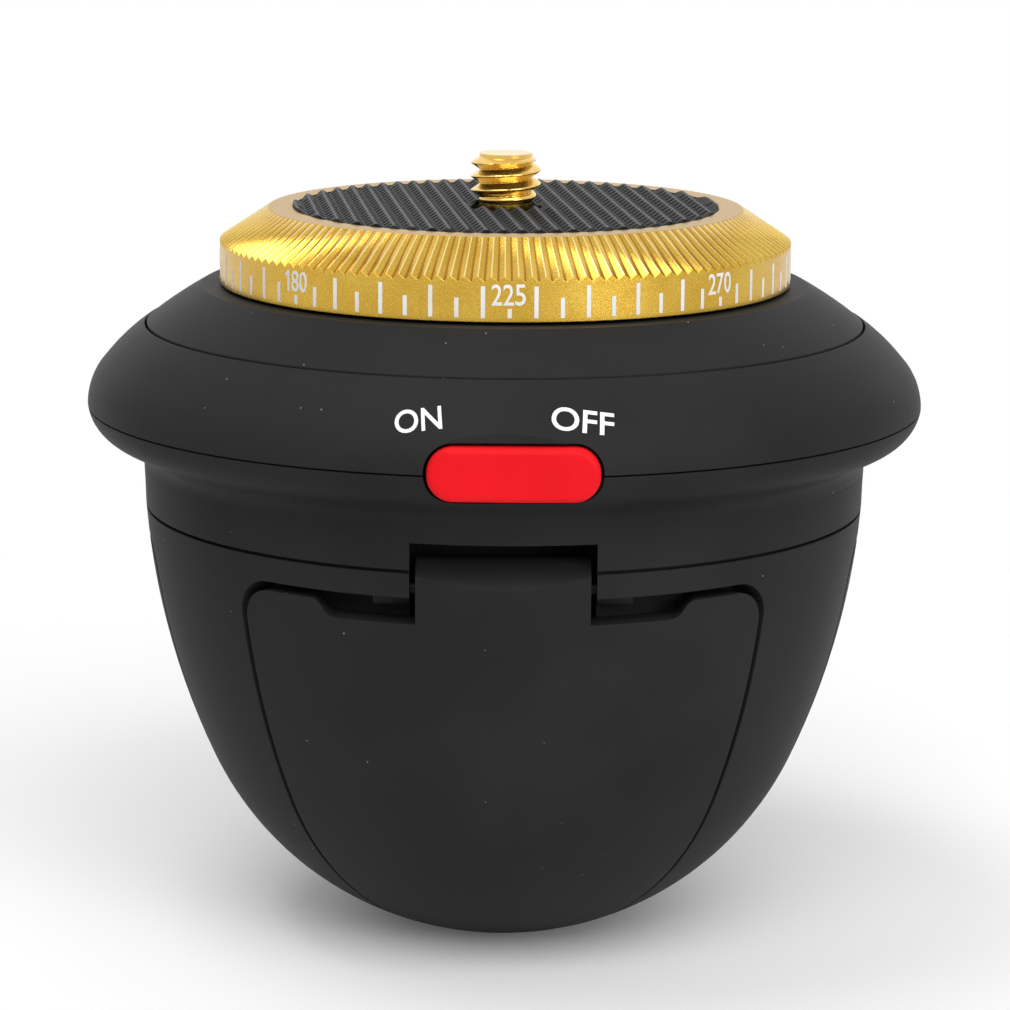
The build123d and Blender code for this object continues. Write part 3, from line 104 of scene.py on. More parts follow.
class Graph:
    """A node tree under construction, for a material or for geometry."""

    def __init__(self, tree: NodeTree) -> None:
        """Keeps the tree that the nodes go into."""
        self.tree = tree

    def node(self, kind: str, inputs: Optional[Inputs] = None, settings: Optional[Settings] = None) -> Node:
        """Adds a node.

        Args:
            kind: The node's type name.
            inputs: Values or links of its sockets, by name or index.
            settings: Properties of the node, which are set first.

        Returns:
            The new node.
        """
        made = self.tree.nodes.new(kind)
        for key, setting in (settings or {}).items():
            setattr(made, key, setting)
        for key, value in (inputs or {}).items():
            self.feed(made.inputs[key], value)
        return made

    def feed(self, socket: NodeSocket, value: Any) -> None:
        """Sets an input to a number, or links it.

        Args:
            socket: The input.
            value: An expression, a socket, a list of sockets, or a plain value.
        """
        if isinstance(value, Expr):
            value = value.socket
        if isinstance(value, list):
            for source in value:
                self.tree.links.new(source, socket)
        elif isinstance(value, NodeSocket):
            self.tree.links.new(value, socket)
        else:
            socket.default_value = value

    def value(
        self, kind: str, inputs: Optional[Inputs] = None, settings: Optional[Settings] = None
    ) -> "Expr":
        """Adds a node and wraps its first output as an expression."""
        return Expr(self, self.node(kind, inputs, settings).outputs[0])

    def split(self, vector: NodeSocket) -> Tuple["Expr", "Expr", "Expr"]:
        """Splits a vector into its three parts."""
        parts = self.node("ShaderNodeSeparateXYZ", {0: vector})
        return tuple(Expr(self, parts.outputs[i]) for i in range(3))

    def join(self, x: Number, y: Number, z: Number) -> NodeSocket:
        """Makes a vector from three values."""
        return self.node("ShaderNodeCombineXYZ", {0: x, 1: y, 2: z}).outputs[0]


class Expr:
    """One value in a node tree; operators on it add Math nodes."""

    def __init__(self, graph: Graph, socket: NodeSocket) -> None:
        """Keeps the tree and the socket that carries the value."""
        self.graph = graph
        self.socket = socket

    def math(self, operation: str, *others: Number) -> "Expr":
        """Applies a Math node to this value and others, in that order."""
        return self.graph.value("ShaderNodeMath", dict(enumerate((self, *others))), {"operation": operation})

    def ramp(self, low: float, high: float, form: str = "LINEAR") -> "Expr":
        """Rises from 0 at low to 1 at high, evenly unless another form is named."""
        inputs = {0: self, 1: low, 2: high, 3: 0.0, 4: 1.0}
        return self.graph.value("ShaderNodeMapRange", inputs, {"interpolation_type": form, "clamp": True})

    def smooth(self, low: float, high: float) -> "Expr":
        """Rises smoothly from 0 at low to 1 at high."""
        return self.ramp(low, high, "SMOOTHSTEP")

    def swing(self, share: float) -> "Expr":
        """Turns a noise about 0.5 into a swing about 0 and scales it."""
        return (self - 0.5) * share

    def zigzag(self) -> "Expr":
        """Goes evenly from 1 at each whole number to 0 between them."""
        return (self.math("FRACT") * 2.0 - 1.0).math("ABSOLUTE")

    def hypot(self, other: "Expr") -> "Expr":
        """The distance from the origin, with the other value at a right angle."""
        return (self * self + other * other).math("SQRT")

    def __add__(self, other: Number) -> "Expr":
        """Adds."""
        return self.math("ADD", other)

    __radd__ = __add__

    def __sub__(self, other: Number) -> "Expr":
        """Subtracts."""
        return self.math("SUBTRACT", other)

    def __rsub__(self, other: Number) -> "Expr":
        """Subtracts this value from another."""
        return self.graph.value("ShaderNodeMath", {0: other, 1: self}, {"operation": "SUBTRACT"})

    def __mul__(self, other: Number) -> "Expr":
        """Multiplies."""
        return self.math("MULTIPLY", other)

    __rmul__ = __mul__

    def __truediv__(self, other: Number) -> "Expr":
        """Divides."""
        return self.math("DIVIDE", other)


class Canvas(Graph):
    """The node tree of one material with a Principled surface."""

    FINE_DETAIL = 2.0
    CLOUD_DETAIL = 3.0
    SPECK_CORE = 0.6
    EDGE_SAMPLES = 4
    FACTOR, FIRST, SECOND, MIXED = 0, 6, 7, 2  # sockets of a Mix node for colours

    def __init__(self, name: str) -> None:
        """Makes the material.

        Args:
            name: The material's name.
        """
        self.material = bpy.data.materials.new(name)
        self.material.use_nodes = True
        super().__init__(self.material.node_tree)
        self.tree.nodes.clear()
        self.shader = self.node("ShaderNodeBsdfPrincipled")
        self.node("ShaderNodeOutputMaterial", {"Surface": self.shader.outputs[0]})
        self.place = self.node("ShaderNodeTexCoord").outputs["Object"]

    def noise(self, size: float, detail: float = FINE_DETAIL, **more: Any) -> Expr:
        """Noise about 0.5, with spots of a size in metres and finer octaves; more are other inputs."""
        inputs = {"Vector": self.place, "Scale": 1.0 / size, "Detail": detail, **more}
        return self.value("ShaderNodeTexNoise", inputs)

    def specks(self, spacing: float, radius: float, share: float) -> Expr:
        """Rare round specks.

        Args:
            spacing: The distance between possible specks, in metres.
            radius: A speck's radius, in metres.
            share: The share of places that have one.

        Returns:
            A mask that is 1 on a speck.
        """
        cells = self.node("ShaderNodeTexVoronoi", {"Vector": self.place, "Scale": 1.0 / spacing})
        rim = radius / spacing
        near = 1.0 - Expr(self, cells.outputs["Distance"]).smooth(rim * self.SPECK_CORE, rim)
        chance, _, _ = self.split(cells.outputs["Color"])
        return near * chance.math("LESS_THAN", share)

    def mix(self, factor: Number, first: Any, second: Any) -> NodeSocket:
        """Mixes two colours or sockets by the share of the second."""
        inputs = {self.FACTOR: factor, self.FIRST: rgba(first), self.SECOND: rgba(second)}
        return self.node("ShaderNodeMix", inputs, {"data_type": "RGBA"}).outputs[self.MIXED]

    def softened(self, radius: float) -> NodeSocket:
        """A normal that rounds sharp edges by a radius in metres."""
        return self.node("ShaderNodeBevel", {"Radius": radius}, {"samples": self.EDGE_SAMPLES}).outputs[0]

    def bump(self, height: Expr, depth: float, strength: float, **more: NodeSocket) -> NodeSocket:
        """Turns a height and its depth in metres into a normal; more may name a Normal to start from."""
        inputs = {"Strength": strength, "Distance": depth, "Height": height, **more}
        return self.node("ShaderNodeBump", inputs).outputs[0]

    def surface(self, **sockets: Any) -> Material:
        """Feeds the Principled shader.

        Args:
            sockets: Values or links by the socket's name, with _ for a space.

        Returns:
            The finished material.
        """
        for name, value in sockets.items():
            self.feed(self.shader.inputs[name.replace("_", " ").title().replace("Ior", "IOR")], value)
        return self.material


def rgba(color: Any) -> Any:
    """Gives a plain colour an alpha of 1, and leaves a socket as it is."""
    return (*color, 1.0) if isinstance(color, tuple) else color


@dataclass(frozen=True)
class SoftTouchBlack:
    """Black moulding with a soft coat, a fine grain, softened edges and a little dust."""

    name: str = "soft_touch_black"
    dark: Color = (0.018, 0.018, 0.0185)
    light: Color = (0.022, 0.022, 0.0225)
    dust: Color = (0.5, 0.5, 0.48)
    roughness: float = 0.52
    gloss: float = 0.05
    cloud: float = 14 * MM
    grain: float = 0.11 * MM
    depth: float = 0.004 * MM
    edge: float = 0.12 * MM
    speck_gap: float = 1.7 * MM
    speck_r: float = 0.085 * MM
    speck_share: float = 0.22
    speck_cover: float = 0.55
    cloud_span: Span = (0.35, 0.65)
    cloud_swing: float = 0.05
    grain_swing: float = 0.08
    relief: float = 0.6

    def build(self) -> Material:
        """Makes the material.

        Returns:
            The finished material.
        """
        canvas = Canvas(self.name)
        cloud = canvas.noise(self.cloud, canvas.CLOUD_DETAIL).smooth(*self.cloud_span)
        grain = canvas.noise(self.grain)
        speck = canvas.specks(self.speck_gap, self.speck_r, self.speck_share)
        coat = canvas.mix(cloud, self.dark, self.light)
        return canvas.surface(
            base_color=canvas.mix(speck * self.speck_cover, coat, self.dust),
            roughness=self.roughness + cloud.swing(self.cloud_swing) + grain.swing(self.grain_swing),
            normal=canvas.bump(grain, self.depth, self.relief, Normal=canvas.softened(self.edge)),
            specular_ior_level=self.gloss,
        )


@dataclass(frozen=True)
class AnodisedGold:
    """Gold anodised aluminium: a blasted band, cut teeth on the bevel with painted shade in their roots and a
    painted highlight on their crests, and a dull rim.
    """

    name: str = "anodised_gold"
    deep: Color = (0.52, 0.31, 0.035)
    bright: Color = (0.68, 0.45, 0.08)
    # root is painted shade in the valleys between the teeth.
    root: Color = (0.36, 0.15, 0.012)
    # crest is a painted highlight along the crests of the teeth.
    crest: Color = (0.9, 0.72, 0.32)
    rim: Color = (0.42, 0.3, 0.175)
    rim_share: float = 0.8
    teeth: int = 141
    teeth_r: float = 25.85 * MM
    teeth_low: float = 62.9 * MM
    teeth_high: float = 66.6 * MM
    roughness: float = 0.26
    cut_roughness: float = 0.17
    rim_roughness: float = 0.5
    cloud: float = 5 * MM
    sparkle: float = 0.13 * MM
    depth: float = 0.014 * MM
    edge: float = 0.07 * MM
    grain_fineness: float = 0.65
    grain_share: float = 0.7
    cloud_share: float = 0.3
    tint_span: Span = (0.36, 0.64)
    root_span: Span = (0.0, 0.3)
    crest_span: Span = (0.84, 0.97)
    cloud_swing: float = 0.06
    grain_swing: float = 0.12
    relief: float = 0.6

    def build(self) -> Material:
        """Makes the material.

        Returns:
            The finished material.
        """
        canvas = Canvas(self.name)
        x, y, z = canvas.split(canvas.place)
        grain = canvas.noise(self.sparkle, canvas.CLOUD_DETAIL, Roughness=self.grain_fineness)
        cloud = canvas.noise(self.cloud, canvas.CLOUD_DETAIL)
        wave = (y.math("ARCTAN2", x) * (self.teeth / math.tau) + self.teeth / 4).zigzag()
        cut = x.hypot(y).math("LESS_THAN", self.teeth_r) * z.math("GREATER_THAN", self.teeth_low)
        cut = cut * z.math("LESS_THAN", self.teeth_high)
        rim = z.math("GREATER_THAN", self.teeth_high)
        tint = (grain * self.grain_share + cloud * self.cloud_share).smooth(*self.tint_span)
        coat = canvas.mix(tint, self.deep, self.bright)
        # Painted shade in the roots of the teeth.
        coat = canvas.mix(cut * (1.0 - wave.smooth(*self.root_span)), coat, self.root)
        # A painted highlight along the crests of the teeth.
        coat = canvas.mix(cut * wave.smooth(*self.crest_span), coat, self.crest)
        coat = canvas.mix(rim * self.rim_share, coat, self.rim)
        satin = self.roughness + (self.cut_roughness - self.roughness) * cut
        satin = satin + (self.rim_roughness - self.roughness) * rim
        return canvas.surface(
            base_color=coat,
            metallic=1.0,
            roughness=satin + cloud.swing(self.cloud_swing) + grain.swing(self.grain_swing),
            normal=canvas.bump(grain, self.depth, self.relief, Normal=canvas.softened(self.edge)),
        )


@dataclass(frozen=True)
class RibbedRubber:
    """Dark rubber with a painted highlight along the crests of its ribs and painted shade in the cross cuts
    on their slopes.
    """

    name: str = "ribbed_rubber"
    # dark is the painted shade in the cross cuts; plain is the rubber itself.
    dark: Color = (0.01, 0.01, 0.011)
    plain: Color = (0.032, 0.033, 0.035)
    # Colour of the painted highlight along the rib crests.
    worn: Color = (0.15, 0.15, 0.155)
    crest: float = 66.97 * MM
    cut_share: float = 0.9
    wear: float = 2.2 * MM
    grain: float = 0.12 * MM
    depth: float = 0.02 * MM
    roughness: float = 0.55
    gloss: float = 0.05
    slope_start: Span = (0.08, 0.22)
    slope_end: Span = (0.78, 0.94)
    cut_span: Span = (0.45, 0.7)
    wear_span: Span = (0.82, 1.0)
    wear_least: float = 0.35
    wear_cloud: float = 0.7
    grain_swing: float = 0.15
    relief: float = 0.6

    def build(self) -> Material:
        """Makes the material.

        Returns:
            The finished material.
        """
        canvas = Canvas(self.name)
        x, y, z = canvas.split(canvas.place)
        turn = math.radians(PAD_SKEW)
        along = y * math.cos(turn) - x * math.sin(turn)
        height = (z - PAD_VALLEY) / (self.crest - PAD_VALLEY)
        slope = height.smooth(*self.slope_start) * (1.0 - height.smooth(*self.slope_end))
        wave = 0.5 - (along * (math.tau / PAD_RUNG)).math("COSINE") * 0.5
        # Painted shade in the cross cuts on the rib slopes.
        cuts = wave.smooth(*self.cut_span) * slope
        grain = canvas.noise(self.grain)
        # A painted highlight along the rib crests, made patchy with noise.
        top = height.smooth(*self.wear_span)
        wear = top * (self.wear_least + canvas.noise(self.wear, canvas.CLOUD_DETAIL) * self.wear_cloud)
        coat = canvas.mix(cuts * self.cut_share, self.plain, self.dark)
        return canvas.surface(
            base_color=canvas.mix(wear, coat, self.worn),
            roughness=self.roughness + grain.swing(self.grain_swing),
            normal=canvas.bump(grain, self.depth, self.relief),
            specular_ior_level=self.gloss,
        )


@dataclass(frozen=True)
class MattePlastic:
    """A coloured moulding with a fine grain."""

    name: str
    dark: Color
    light: Color
    roughness: float = 0.5
    grain: float = 0.15 * MM
    depth: float = 0.004 * MM
    gloss: float = 0.5
    cloud: float = 6 * MM
    cloud_span: Span = (0.3, 0.7)
    grain_swing: float = 0.1
    relief: float = 0.5

    def build(self) -> Material:
        """Makes the material.

        Returns:
            The finished material.
        """
        canvas = Canvas(self.name)
        cloud = canvas.noise(self.cloud, canvas.CLOUD_DETAIL).smooth(*self.cloud_span)
        grain = canvas.noise(self.grain)
        return canvas.surface(
            base_color=canvas.mix(cloud, self.dark, self.light),
            roughness=self.roughness + grain.swing(self.grain_swing),
            normal=canvas.bump(grain, self.depth, self.relief),
            specular_ior_level=self.gloss,
        )


@dataclass(frozen=True)
class TurnedMetal:
    """Bare or plated metal with fine turning marks round the upright axis."""

    name: str
    dark: Color
    light: Color
    roughness: float = 0.25
    lines: float = 0.12 * MM
    squeeze: float = 0.05
    cloud: float = 3 * MM
    depth: float = 0.003 * MM
    mark_share: float = 0.6
    cloud_share: float = 0.4
    tint_span: Span = (0.35, 0.65)
    mark_swing: float = 0.12
    cloud_swing: float = 0.06
    relief: float = 0.5

    def build(self) -> Material:
        """Makes the material.

        Returns:
            The finished material.
        """
        canvas = Canvas(self.name)
        x, y, z = canvas.split(canvas.place)
        stretched = canvas.join(x * self.squeeze, y * self.squeeze, z)
        marks = canvas.noise(self.lines, canvas.CLOUD_DETAIL, Vector=stretched)
        cloud = canvas.noise(self.cloud, canvas.CLOUD_DETAIL)
        tint = (marks * self.mark_share + cloud * self.cloud_share).smooth(*self.tint_span)
        return canvas.surface(
            base_color=canvas.mix(tint, self.dark, self.light),
            metallic=1.0,
            roughness=self.roughness + marks.swing(self.mark_swing) + cloud.swing(self.cloud_swing),
            normal=canvas.bump(marks, self.depth, self.relief),
        )


@dataclass(frozen=True)
class BoardMask:
    """Green solder mask with copper runs that show through it."""

    name: str = "board_mask"
    mask: Color = (0.012, 0.11, 0.045)
    run: Color = (0.03, 0.2, 0.075)
    pitch: float = 1.3 * MM
    bends: float = 4 * MM
    depth: float = 0.02 * MM
    roughness: float = 0.32
    bend_detail: float = 1.0
    bend_span: Span = (0.42, 0.58)
    run_span: Span = (0.6, 0.75)
    run_swing: float = 0.06
    relief: float = 0.4

    def build(self) -> Material:
        """Makes the material.

        Returns:
            The finished material.
        """
        canvas = Canvas(self.name)
        x, y, _ = canvas.split(canvas.place)
        bend = canvas.noise(self.bends, self.bend_detail).smooth(*self.bend_span)
        wave = ((x + y * bend) * (math.tau / self.pitch)).math("SINE") * 0.5 + 0.5
        runs = wave.smooth(*self.run_span)
        return canvas.surface(
            base_color=canvas.mix(runs, self.mask, self.run),
            roughness=self.roughness + runs * self.run_swing,
            normal=canvas.bump(runs, self.depth, self.relief),
        )


Finish = Union[SoftTouchBlack, AnodisedGold, RibbedRubber, MattePlastic, TurnedMetal, BoardMask]


@dataclass(frozen=True)
class Finishes:
    """All finishes of the head."""

    black: Finish = SoftTouchBlack()
    gold: Finish = AnodisedGold()
    rubber: Finish = RibbedRubber()
    red: Finish = MattePlastic("button_red", (0.74, 0.0065, 0.012), (0.79, 0.008, 0.0145), 0.5, gloss=0.1)
    ink: Finish = MattePlastic("white_print", (0.8, 0.79, 0.77), (0.9, 0.89, 0.88), 0.55)
    screw: Finish = TurnedMetal("gold_thread", (0.68, 0.43, 0.09), (0.8, 0.56, 0.18), 0.22)
    blackened: Finish = TurnedMetal("blackened_steel", (0.012, 0.012, 0.013), (0.022, 0.022, 0.023), 0.45)
    steel: Finish = TurnedMetal("plain_steel", (0.42, 0.42, 0.43), (0.58, 0.58, 0.59), 0.28)
    brass: Finish = TurnedMetal("turned_brass", (0.6, 0.42, 0.15), (0.74, 0.55, 0.24), 0.25)
    acetal: Finish = MattePlastic("white_acetal", (0.68, 0.67, 0.63), (0.76, 0.75, 0.71), 0.4)
    chassis: Finish = MattePlastic("grey_chassis", (0.1, 0.1, 0.11), (0.13, 0.13, 0.14), 0.55)
    board: Finish = BoardMask()
    package: Finish = MattePlastic("black_package", (0.018, 0.018, 0.019), (0.03, 0.03, 0.031), 0.6)
    wrap: Finish = MattePlastic("battery_wrap", (0.02, 0.07, 0.2), (0.03, 0.09, 0.25), 0.25)
    foam: Finish = MattePlastic(
        "grey_foam", (0.07, 0.07, 0.075), (0.11, 0.11, 0.115), 0.9, 0.4 * MM, 0.1 * MM
    )

    def dressing(self) -> Dict[Finish, str]:
        """Says which nodes of the frame get which finish.

        Returns:
            The names of the nodes by their finish, with spaces between them.
        """
        return {
            self.black: "base_shell collar upper_housing top_cover leg_front leg_right leg_left",
            self.gold: "dial_ring",
            self.rubber: "grip_pad",
            self.red: "rocker_button",
            self.steel: "charge_socket bearing_outer_race bearing_inner_race bearing_balls bearing_cage "
                        "motor_can motor_screws motor_shaft board_screws housing_screws dial_screws "
                        "spindle retaining_ring",
            self.blackened: "base_screws hinge_pins",
            self.brass: "tripod_bush motor_gearbox pinion_gear",
            self.screw: "camera_screw",
            self.acetal: "motor_end_cap drive_gear",
            self.chassis: "chassis_plate",
            self.board: "main_board switch_board",
            self.package: "board_components tact_switches",
            self.wrap: "battery_cell",
            self.foam: "battery_pad",
        }


@dataclass
class Workshop:
    """Holds the frame and the built materials, and finishes pieces."""

    frame: Dict[str, Any]
    finishes: Finishes = Finishes()
    built: Dict[Finish, Material] = field(init=False)

    def __post_init__(self) -> None:
        """Builds each finish once."""
        self.built = {finish: finish.build() for finish in vars(self.finishes).values()}

    def dress_nodes(self) -> None:
        """Gives every node of the frame its material."""
        for finish, names in self.finishes.dressing().items():
            for name in names.split():
                node = self.frame["nodes"][name]
                node.data.materials.clear()
                node.data.materials.append(self.built[finish])
            LOG.info("finish %s on %s", finish.name, names)

    def surface_of(self, name: str) -> BVHTree:
        """Makes a search tree of a node's surface, in metres."""
        mesh = self.frame["nodes"][name].data
        return BVHTree.FromPolygons([v.co for v in mesh.vertices], [p.vertices for p in mesh.polygons])

    def keep(self, piece: Object, body: Body, slot: Slot, replaced: Sequence[str] = ()) -> None:
        """Hands a finished piece over to the frame.

        Args:
            piece: The piece.
            body: The body that it rides on.
            slot: The record's material slot; not used.
            replaced: Nodes that it stands for.
        """
        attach(piece, body.value)
        if replaced:
            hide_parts(*replaced)
        LOG.info("piece %s on %s, %d faces", piece.name, body.value, len(piece.data.polygons))


def linked(name: str, data: Any) -> Object:
    """Makes an object and links it to the scene.

    Args:
        name: The object's name.
        data: Its mesh, curve, lamp or camera.

    Returns:
        The object.
    """
    made = bpy.data.objects.new(name, data)
    bpy.context.scene.collection.objects.link(made)
    return made


def shown(carrier: Object) -> Mesh:
    """Makes the mesh that an object shows."""
    depsgraph = bpy.context.evaluated_depsgraph_get()
    return bpy.data.meshes.new_from_object(carrier.evaluated_get(depsgraph))


def point_outwards(piece: Object) -> None:
    """Turns all faces of closed shells outwards.

    Args:
        piece: The piece.
    """
    work = bmesh.new()
    work.from_mesh(piece.data)
    bmesh.ops.recalc_face_normals(work, faces=work.faces)
    work.to_mesh(piece.data)
    work.free()


def shade(piece: Object) -> None:
    """Smooths a piece's shading except over sharp edges."""
    piece.data.shade_smooth()
    piece.data.set_sharp_from_angle(angle=math.radians(SHARP_EDGE))


class Recipe(Graph):
    """A Geometry Nodes tree with named inputs that ends in one mesh."""

    ROOT_END = 0.04
    CREST_START = 0.9
    WELD = 0.002 * MM

    def __init__(self, name: str, sizes: Dict[str, float]) -> None:
        """Makes the tree.

        Args:
            name: The tree's name.
            sizes: The named inputs and their values.
        """
        super().__init__(bpy.data.node_groups.new(name, "GeometryNodeTree"))
        self.sizes = sizes
        self.sockets = {}
        self.tree.interface.new_socket("Geometry", in_out="OUTPUT", socket_type="NodeSocketGeometry")
        for label, size in sizes.items():
            kind = "NodeSocketInt" if isinstance(size, int) else "NodeSocketFloat"
            self.sockets[label] = self.tree.interface.new_socket(label, in_out="INPUT", socket_type=kind)
        self.entry = self.node("NodeGroupInput")

    def size(self, label: str) -> Expr:
        """One of the named inputs."""
        return Expr(self, self.entry.outputs[label])

    def between(self, first: str, second: str, share: Expr) -> Expr:
        """Goes from one named input to another by a share."""
        return self.size(first) + (self.size(second) - self.size(first)) * share

    def sweep(self) -> Tuple[Expr, Expr]:
        """The share of a turn and the share of the profile over a unit grid, both from 0 to 1."""
        u, v, _ = self.split(self.node("GeometryNodeInputPosition").outputs[0])
        return u + 0.5, v + 0.5

    def thread(self, height: Expr, turn: Expr, phase: float) -> Expr:
        """A right-handed thread with the pitch named Pitch: 0 in the root and 1 on the crest."""
        wave = (height / self.size("Pitch") - turn + phase).zigzag()
        return wave.ramp(self.ROOT_END, self.CREST_START)

    def lathe(self, around: int, rows: int, turn: Expr, radius: Expr, height: Number) -> NodeSocket:
        """Wraps a unit grid round the axis.

        Args:
            around: The faces in a turn.
            rows: The points along the profile.
            turn: The share of a turn on the grid.
            radius: The radius on the grid.
            height: The height on the grid.

        Returns:
            The socket of the open surface.
        """
        inputs = {"Size X": 1.0, "Size Y": 1.0, "Vertices X": around + 1, "Vertices Y": rows}
        grid = self.node("GeometryNodeMeshGrid", inputs).outputs["Mesh"]
        angle = turn * math.tau
        place = self.join(radius * angle.math("COSINE"), radius * angle.math("SINE"), height)
        return self.node("GeometryNodeSetPosition", {"Geometry": grid, "Position": place}).outputs[0]

    def disc(self, around: int, radius: Expr, height: float) -> NodeSocket:
        """A filled disc at a height on the axis, with some points around its edge."""
        inputs, filled = {"Vertices": around, "Radius": radius}, {"fill_type": "NGON"}
        return self.moved(self.node("GeometryNodeMeshCircle", inputs, filled).outputs[0], (0.0, 0.0, height))

    def cylinder(self, sides: int, radius: Number, depth: float, middle: float) -> NodeSocket:
        """An upright cylinder with its middle at a height on the axis."""
        rod = self.node("GeometryNodeMeshCylinder", {"Vertices": sides, "Radius": radius, "Depth": depth})
        return self.moved(rod.outputs["Mesh"], (0.0, 0.0, middle))

    def bar(self, size: Any, middle: float = 0.0) -> NodeSocket:
        """A box with its middle at a height on the axis."""
        box = self.node("GeometryNodeMeshCube", {"Size": size}).outputs["Mesh"]
        return self.moved(box, (0.0, 0.0, middle))

    def moved(self, geometry: NodeSocket, shift: Spot, turn: Spot = (0.0, 0.0, 0.0)) -> NodeSocket:
        """Turns a geometry about the three axes, in radians, and moves it."""
        inputs = {"Geometry": geometry, "Translation": shift, "Rotation": turn}
        return self.node("GeometryNodeTransform", inputs).outputs[0]

    def scattered(
        self, count: Number, place: NodeSocket, shape: NodeSocket, turn: NodeSocket, **more: Any
    ) -> NodeSocket:
        """Sets copies of a shape on points.

        Args:
            count: The number of points.
            place: Where each point is.
            shape: The shape.
            turn: Each copy's turn about the three axes, in radians.
            more: The copies' Selection or Scale.

        Returns:
            The socket of the copies.
        """
        points = self.node("GeometryNodePoints", {"Count": count, "Position": place}).outputs[0]
        turned = self.node("FunctionNodeEulerToRotation", {0: turn}).outputs[0]
        inputs = {"Points": points, "Instance": shape, "Rotation": turned, **more}
        return self.node("GeometryNodeInstanceOnPoints", inputs).outputs[0]

    def joined(self, parts: List[NodeSocket]) -> NodeSocket:
        """Joins geometries."""
        return self.node("GeometryNodeJoinGeometry", {0: parts}).outputs[0]

    def welded(self, parts: List[NodeSocket]) -> NodeSocket:
        """Joins surfaces into a closed one by merging the points where they meet."""
        inputs = {"Geometry": self.joined(parts), "Distance": self.WELD}
        return self.node("GeometryNodeMergeByDistance", inputs).outputs[0]

    def bake(self, name: str, geometry: NodeSocket, material: Material) -> Object:
        """Closes the tree, runs it and keeps the result as a plain mesh.

        Args:
            name: The piece's name.
            geometry: The socket of the finished geometry.
            material: The material of the whole piece.

        Returns:
            The piece.
        """
        real = self.node("GeometryNodeRealizeInstances", {0: geometry}).outputs[0]
        painted = self.node("GeometryNodeSetMaterial", {"Geometry": real, "Material": material})
        self.node("NodeGroupOutput", {0: painted.outputs[0]})
        carrier = linked(name + "_recipe", bpy.data.meshes.new(name + "_recipe"))
        modifier = carrier.modifiers.new("recipe", "NODES")
        modifier.node_group = self.tree
        for label, value in self.sizes.items():
            modifier[self.sockets[label].identifier] = value
        mesh = shown(carrier)
        bpy.data.objects.remove(carrier)
        mesh.name = name
        return linked(name, mesh)


@dataclass
class CameraScrew:
    """The gold quarter inch screw: a threaded end, a neck and a hexagonal head."""

    shop: Workshop
    root: float = 2.4 * MM
    tip: float = 2.4 * MM
    tip_h: float = 0.35 * MM
    tip_slope: float = 1.6
    thread_start: float = 67.1 * MM
    run_in: float = 0.9 * MM
    low: float = 62.2 * MM
    high: float = 71.5 * MM
    phase: float = 0.878
    head_sides: int = 6
    head_r: float = 5.5 * MM
    head_h: float = 3.0 * MM
    around: int = 72
    rows: int = 190

    def build(self) -> None:
        """Makes the screw and lets it stand for its node."""
        sizes = {"Crest": THREAD_MAJOR, "Root": self.root, "Pitch": THREAD_PITCH, "Tip": self.tip}
        recipe = Recipe("camera_screw_thread", sizes)
        turn, step = recipe.sweep()
        height = step * (self.high - self.low) + self.low
        fade = ((height - self.thread_start) / self.run_in).ramp(0.0, 1.0)
        body = recipe.between("Root", "Crest", recipe.thread(height, turn, self.phase) * fade)
        depth = (self.high - self.tip_h - height).math("MAXIMUM", 0.0)
        radius = body.math("MINIMUM", recipe.size("Tip") + depth * self.tip_slope)
        shank = recipe.welded([
            recipe.lathe(self.around, self.rows, turn, radius, height),
            recipe.disc(self.around, recipe.size("Tip"), self.high),
            recipe.disc(self.around, recipe.size("Root"), self.low),
        ])
        head = recipe.cylinder(self.head_sides, self.head_r, self.head_h, self.low - self.head_h / 2)
        gold = self.shop.built[self.shop.finishes.screw]
        piece = recipe.bake("camera_screw_threaded", recipe.joined([shank, head]), gold)
        point_outwards(piece)
        shade(piece)
        self.shop.keep(piece, Body.TURNTABLE, Slot.GOLD_SCREW, ["camera_screw"])


@dataclass
class PadRungs:
    """Low raised bars across the slopes of the pad's ribs."""

    shop: Workshop
    outer: float = 19.3 * MM
    inner: float = 3.3 * MM
    margin: float = 0.6 * MM
    pitch: float = 1.525 * MM
    rib_h: float = 0.5 * MM
    length: float = 0.6 * MM
    width: float = 0.8 * MM
    thick: float = 0.12 * MM

    def build(self) -> None:
        """Makes the bars and keeps those inside the pad's edge."""
        slopes = 4 * (int(self.outer / self.pitch) + 1)
        rows = 2 * int(self.outer / PAD_RUNG) + 1
        sizes = {"Pitch": self.pitch, "Rung": PAD_RUNG, "Length": self.length, "Width": self.width}
        recipe = Recipe("pad_rungs", sizes)
        index = recipe.value("GeometryNodeInputIndex")
        slope = (index / float(rows)).math("FLOOR")
        row = index - slope * float(rows)
        across = (slope - (slopes - 1) / 2) * recipe.size("Pitch") * 0.5
        along = (row - (rows - 1) / 2) * recipe.size("Rung")
        turn = math.radians(PAD_SKEW)
        x = across * math.cos(turn) - along * math.sin(turn)
        y = across * math.sin(turn) + along * math.cos(turn)
        away = x.hypot(y)
        inside = away.math("LESS_THAN", self.outer - self.margin)
        inside = inside * away.math("GREATER_THAN", self.inner + self.margin)
        lean = math.atan2(self.rib_h, self.pitch / 2)
        falling = (slope + slopes / 2).math("MODULO", 2.0)
        tilt = falling * (2 * lean) - lean
        place = recipe.join(x, y, PAD_VALLEY + self.rib_h / 2)
        bar = recipe.bar(recipe.join(recipe.size("Length"), recipe.size("Width"), self.thick))
        bars = recipe.scattered(slopes * rows, place, bar, recipe.join(0.0, tilt, turn), Selection=inside)
        piece = recipe.bake("pad_rungs", bars, self.shop.built[self.shop.finishes.rubber])
        self.shop.keep(piece, Body.TURNTABLE, Slot.RUBBER)


